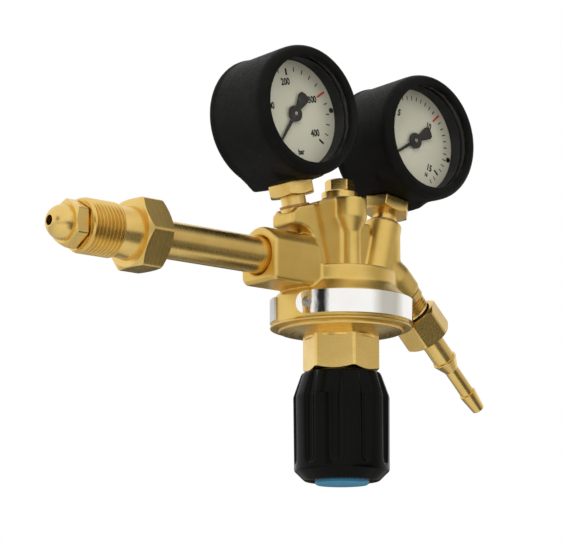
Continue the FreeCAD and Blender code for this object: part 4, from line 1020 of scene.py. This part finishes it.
@dataclass
class Scale:
    """Marks and figures of one dial, in the gauge's frame."""

    full: float
    step: float
    bold_every: float
    red: float
    figures: dict[str, Triple]      # each text's X and Z and its height, in millimetres
    zero: float = math.radians(225.0)
    sweep: float = math.radians(270.0)
    face: float = -0.0104
    proud: float = 0.00005
    fine: tuple[float, float] = (0.019, 0.021)
    fine_width: float = 0.00048
    bold: tuple[float, float] = (0.0172, 0.0202)
    bold_width: float = 0.0010
    red_reach: tuple[float, float] = (0.0167, 0.0220)
    stroke: float = 0.00020

    def angle(self, value: float) -> float:
        """Direction of a value on the dial, from +X."""
        return self.zero - self.sweep * value / self.full

    def bar(self, work: bmesh.types.BMesh, value: float, reach: tuple[float, float],
            width: float) -> None:
        """Add one mark, as a thin bar.

        Args:
            work: Mesh that takes it.
            value: Value that it marks.
            reach: Inner and outer distance from the centre.
            width: Its width.
        """
        middle, length = sum(reach) / 2, reach[1] - reach[0]
        shape = Matrix.Diagonal((length, self.proud, width, 1.0))
        out = Matrix.Translation((middle, self.face - self.proud / 2, 0.0))
        turn = Matrix.Rotation(-self.angle(value), 4, "Y")
        bmesh.ops.create_cube(work, size=1.0, matrix=turn @ out @ shape)

    def marks(self) -> bmesh.types.BMesh:
        """Make all black marks and figures.

        Returns:
            Their mesh.
        """
        work = bmesh.new()
        for i in range(round(self.full / self.step) + 1):
            value = i * self.step
            if value == self.red:
                continue
            steps = value / self.bold_every
            if abs(steps - round(steps)) < SAME:
                self.bar(work, value, self.bold, self.bold_width)
            else:
                self.bar(work, value, self.fine, self.fine_width)
        for text, (x, z, height) in self.figures.items():
            place = Matrix.Translation((x * MM, self.face - self.proud / 2, z * MM))
            add(work, words(text, height * MM, self.stroke), place)
        return work

    def red_mark(self) -> bmesh.types.BMesh:
        """Make the red mark.

        Returns:
            Its mesh.
        """
        work = bmesh.new()
        self.bar(work, self.red, self.red_reach, self.bold_width)
        return work


HIGH_SCALE = Scale(
    full=400.0, step=20.0, bold_every=100.0, red=300.0,
    figures={"0": (-11.5, -10.5, 3.3), "100": (-12.6, 4.6, 3.3), "200": (-1.4, 14.5, 3.3),
             "300": (12.4, 5.6, 3.3), "400": (10.4, -9.2, 3.3), "bar": (0.3, -16.7, 2.6)})
LOW_SCALE = Scale(
    full=16.0, step=0.5, bold_every=5.0, red=10.0,
    figures={"0": (-11.5, -10.5, 3.3), "5": (-11.6, 9.3, 3.3), "10": (7.5, 10.7, 3.3),
             "15": (12.2, -8.3, 3.3), "16": (10.9, -12.1, 2.2), "bar": (0.3, -16.7, 2.6)})


@dataclass
class Gauge:
    """One dial gauge in its rubber boot."""

    side: Side
    scale: Scale
    rounding: Rounding = Rounding(voxel=0.0006, passes=6, keep=0.4)
    arm_face: float = -0.0395       # height of the boss's face, in the gauge's frame
    thread_kept: float = 0.6        # share of the stem's thread that stays inside the boss
    screw_aside: float = 0.0224
    screw_radius: float = 0.0012
    screw_top_radius: float = 0.0010
    screw_height: float = 0.0004
    dressed: tuple = (
        ("stem_washer", "copper"), ("case", "dark_steel"), ("window", "glass"),
        ("spacer", "seal"), ("dial", "dial"), ("pointer", "pointer"), ("arbor", "rivet"),
        ("movement", "dial_brass"), ("sector", "dial_brass"), ("bourdon", "dial_brass"))

    def build(self, finish: Finishes) -> None:
        """Round the boot, print the dial and dress every part.

        Args:
            finish: Materials by name.
        """
        tag = self.side.tag
        boot = rounded_node(tag + "_boot", tag + "_cover", self.rounding)
        dress(boot, finish["rubber"])
        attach(boot, "regulator")
        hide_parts(tag + "_boot")
        self.printed(tag + "_marks", self.scale.marks(), finish["ink"])
        self.printed(tag + "_red_mark", self.scale.red_mark(), finish["red"])
        self.printed(tag + "_dial_screws", self.screws(), finish["dark_steel"])
        stem = finish[tag + "_stem"]
        if self.side is Side.HIGH:
            self.shorter_stem(stem)
        dress(node(tag + "_stem"), stem)
        for part, key in self.dressed:
            dress(node(tag + "_" + part), finish[key])
        log.info("%s gauge done", tag)

    def screws(self) -> bmesh.types.BMesh:
        """Make the heads of the two screws that hold the dial.

        Returns:
            Their mesh.
        """
        work = bmesh.new()
        flat = Matrix.Rotation(QUARTER, 4, "X")
        for sign in (-1, 1):
            spot = Matrix.Translation((sign * self.screw_aside,
                                       self.scale.face - self.screw_height / 2, 0.0))
            bmesh.ops.create_cone(work, cap_ends=True, segments=24, radius1=self.screw_radius,
                                  radius2=self.screw_top_radius, depth=self.screw_height,
                                  matrix=spot @ flat)
        return work

    def shorter_stem(self, brass: bpy.types.Material) -> None:
        """Make the stem with a shorter thread, which stays inside its boss.

        Args:
            brass: Turned finish along the stem.
        """
        place = self.side.place
        back = place.inverted()
        work = merged_copy(self.side.tag + "_stem")
        for vert in work.verts:
            spot = back @ vert.co
            below = self.arm_face - spot.z
            if below > 0.0:
                height = self.arm_face - below * self.thread_kept
                vert.co = place @ Vector((spot.x, spot.y, height))
        piece = piece_of(self.side.tag + "_short_stem", work)
        dress(piece, brass)
        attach(piece, "regulator")
        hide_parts(self.side.tag + "_stem")

    def printed(self, name: str, work: bmesh.types.BMesh, ink: bpy.types.Material) -> None:
        """Lay marks or screw heads on the dial.

        Args:
            name: Name of the piece.
            work: Its mesh, in the gauge's frame.
            ink: Its finish.
        """
        bmesh.ops.transform(work, verts=work.verts, matrix=self.side.place)
        piece = piece_of(name, work)
        dress(piece, ink)
        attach(piece, "regulator")


@dataclass
class HandKnob:
    """Fluted knob with its cap and screw."""

    rounding: Rounding = Rounding(voxel=0.00045, passes=4, keep=0.5)

    def build(self, black: bpy.types.Material, blue: bpy.types.Material,
              steel: bpy.types.Material) -> None:
        """Round the knob's ribs and dress it.

        Args:
            black: Gloss black plastic.
            blue: Blue plastic of the cap.
            steel: Finish of the screw and its clip.
        """
        piece = rounded_node("knob", "hand_knob", self.rounding)
        dress(piece, black)
        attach(piece, "knob")
        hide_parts("knob")
        dress(node("knob_cap"), blue)
        dress(node("adjusting_screw"), steel)
        dress(node("screw_clip"), steel)
        log.info("knob done")


@dataclass
class Plates:
    """Bare plates on the drum."""

    def build(self, chrome: bpy.types.Material, rivet: bpy.types.Material,
              white: bpy.types.Material) -> None:
        """Dress the plates.

        Args:
            chrome: Polished plating.
            rivet: Duller metal of the rivets.
            white: Plain label.
        """
        dress(node("front_plate"), chrome)
        dress(node("front_plate_rivets"), rivet)
        dress(node("rear_label"), white)
        log.info("plates done")


@dataclass(frozen=True)
class Spring:
    """Spring whose coils are copied as they stand in the CAD node."""

    name: str
    joint: str
    held: float      # height of the end that stays
    travel: float    # how much shorter it is at the joint's limit

    def build(self, steel: bpy.types.Material) -> None:
        """Copy the spring's coils and dress them.

        Args:
            steel: Finish of the wire.
        """
        piece = piece_of(self.name + "_coils", merged_copy(self.name))
        dress(piece, steel)
        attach(piece, "regulator")
        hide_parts(self.name)
        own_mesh(piece)


@dataclass
class InnerWorks:
    """Valve, diaphragm and springs inside the body."""

    dressed: tuple = (
        ("steel", ("valve_pin", "diaphragm_plate")),
        ("upright", ("valve_poppet", "diaphragm_button", "spring_carrier")),
        ("seat", ("plug_seal", "valve_seat", "slip_ring")),
        ("seal", ("diaphragm",)))
    springs: tuple[Spring, ...] = (
        Spring("main_spring", "carrier_slide", held=-0.0226, travel=0.0075),
        Spring("valve_spring", "valve_lift", held=0.0255, travel=0.0008))

    def build(self, finish: Finishes) -> None:
        """Dress the hidden parts.

        Args:
            finish: Materials by name.
        """
        for key, names in self.dressed:
            for name in names:
                dress(node(name), finish[key])
        for spring in self.springs:
            spring.build(finish["steel"])
        log.info("inner works done")


def finishes() -> Finishes:
    """Make every material.

    Returns:
        The materials, by the names that the builders use.
    """
    made = {
        "forged": ForgedBrass(),
        "inlet": TurnedBrass(Axis.INLET),
        "upright": TurnedBrass(Axis.UPRIGHT),
        "outlet": TurnedBrass(Axis.OUTLET),
        "high_stem": TurnedBrass(Axis.HIGH_STEM),
        "low_stem": TurnedBrass(Axis.LOW_STEM),
        "dial_brass": TurnedBrass(Axis.DIAL),
        "rubber": Rubber(),
        "seal": Rubber("seal rubber", (0.02, 0.02, 0.02), (0.03, 0.03, 0.03), 0.6),
        "black": Plastic("gloss black plastic", (0.002, 0.002, 0.0018), (0.003, 0.003, 0.0026),
                         0.13, 0.07),
        "blue": Plastic("blue plastic", (0.055, 0.27, 0.44), (0.045, 0.24, 0.40), 0.35, 0.3),
        "white": Plastic("plain label", (0.80, 0.80, 0.80), (0.76, 0.76, 0.76), 0.45),
        "seat": Plastic("seat plastic", (0.72, 0.70, 0.62), (0.68, 0.66, 0.58), 0.4),
        "dial": Plastic("dial paint", (0.52, 0.50, 0.385), (0.48, 0.46, 0.355), 0.5),
        "ink": Plastic("black ink", (0.02, 0.02, 0.02), (0.03, 0.03, 0.03), 0.6, 0.1),
        "red": Plastic("red ink", (0.46, 0.05, 0.04), (0.42, 0.045, 0.035), 0.5),
        "pointer": Plastic("pointer paint", (0.03, 0.028, 0.025), (0.04, 0.038, 0.033), 0.5, 0.1),
        "copper": BrightMetal("copper washer", (0.45, 0.24, 0.10), (0.36, 0.18, 0.07), 0.35),
        "chrome": BrightMetal("chrome plating", (0.92, 0.91, 0.88), (0.88, 0.87, 0.84), 0.07),
        "steel": BrightMetal("bright steel", (0.62, 0.62, 0.63), (0.56, 0.56, 0.57), 0.22),
        "rivet": BrightMetal("rivet steel", (0.36, 0.34, 0.29), (0.28, 0.26, 0.22), 0.25),
        "dark_steel": BrightMetal("dark steel", (0.12, 0.12, 0.12), (0.09, 0.09, 0.09), 0.35),
        "glass": Glass(),
    }
    return {name: kind.make() for name, kind in made.items()}


def main() -> None:
    """Build the studio and every sub-assembly."""
    logging.basicConfig(level=logging.INFO, format="%(message)s")
    finish = finishes()
    Studio().build()
    Forging().build(finish["forged"], finish["upright"])
    InletFitting().build(finish["inlet"])
    OutletFitting().build(finish["outlet"], finish["seal"])
    Gauge(Side.HIGH, HIGH_SCALE).build(finish)
    Gauge(Side.LOW, LOW_SCALE).build(finish)
    HandKnob().build(finish["black"], finish["blue"], finish["steel"])
    Plates().build(finish["chrome"], finish["rivet"], finish["white"])
    InnerWorks().build(finish)


if __name__ == "__main__":
    main()
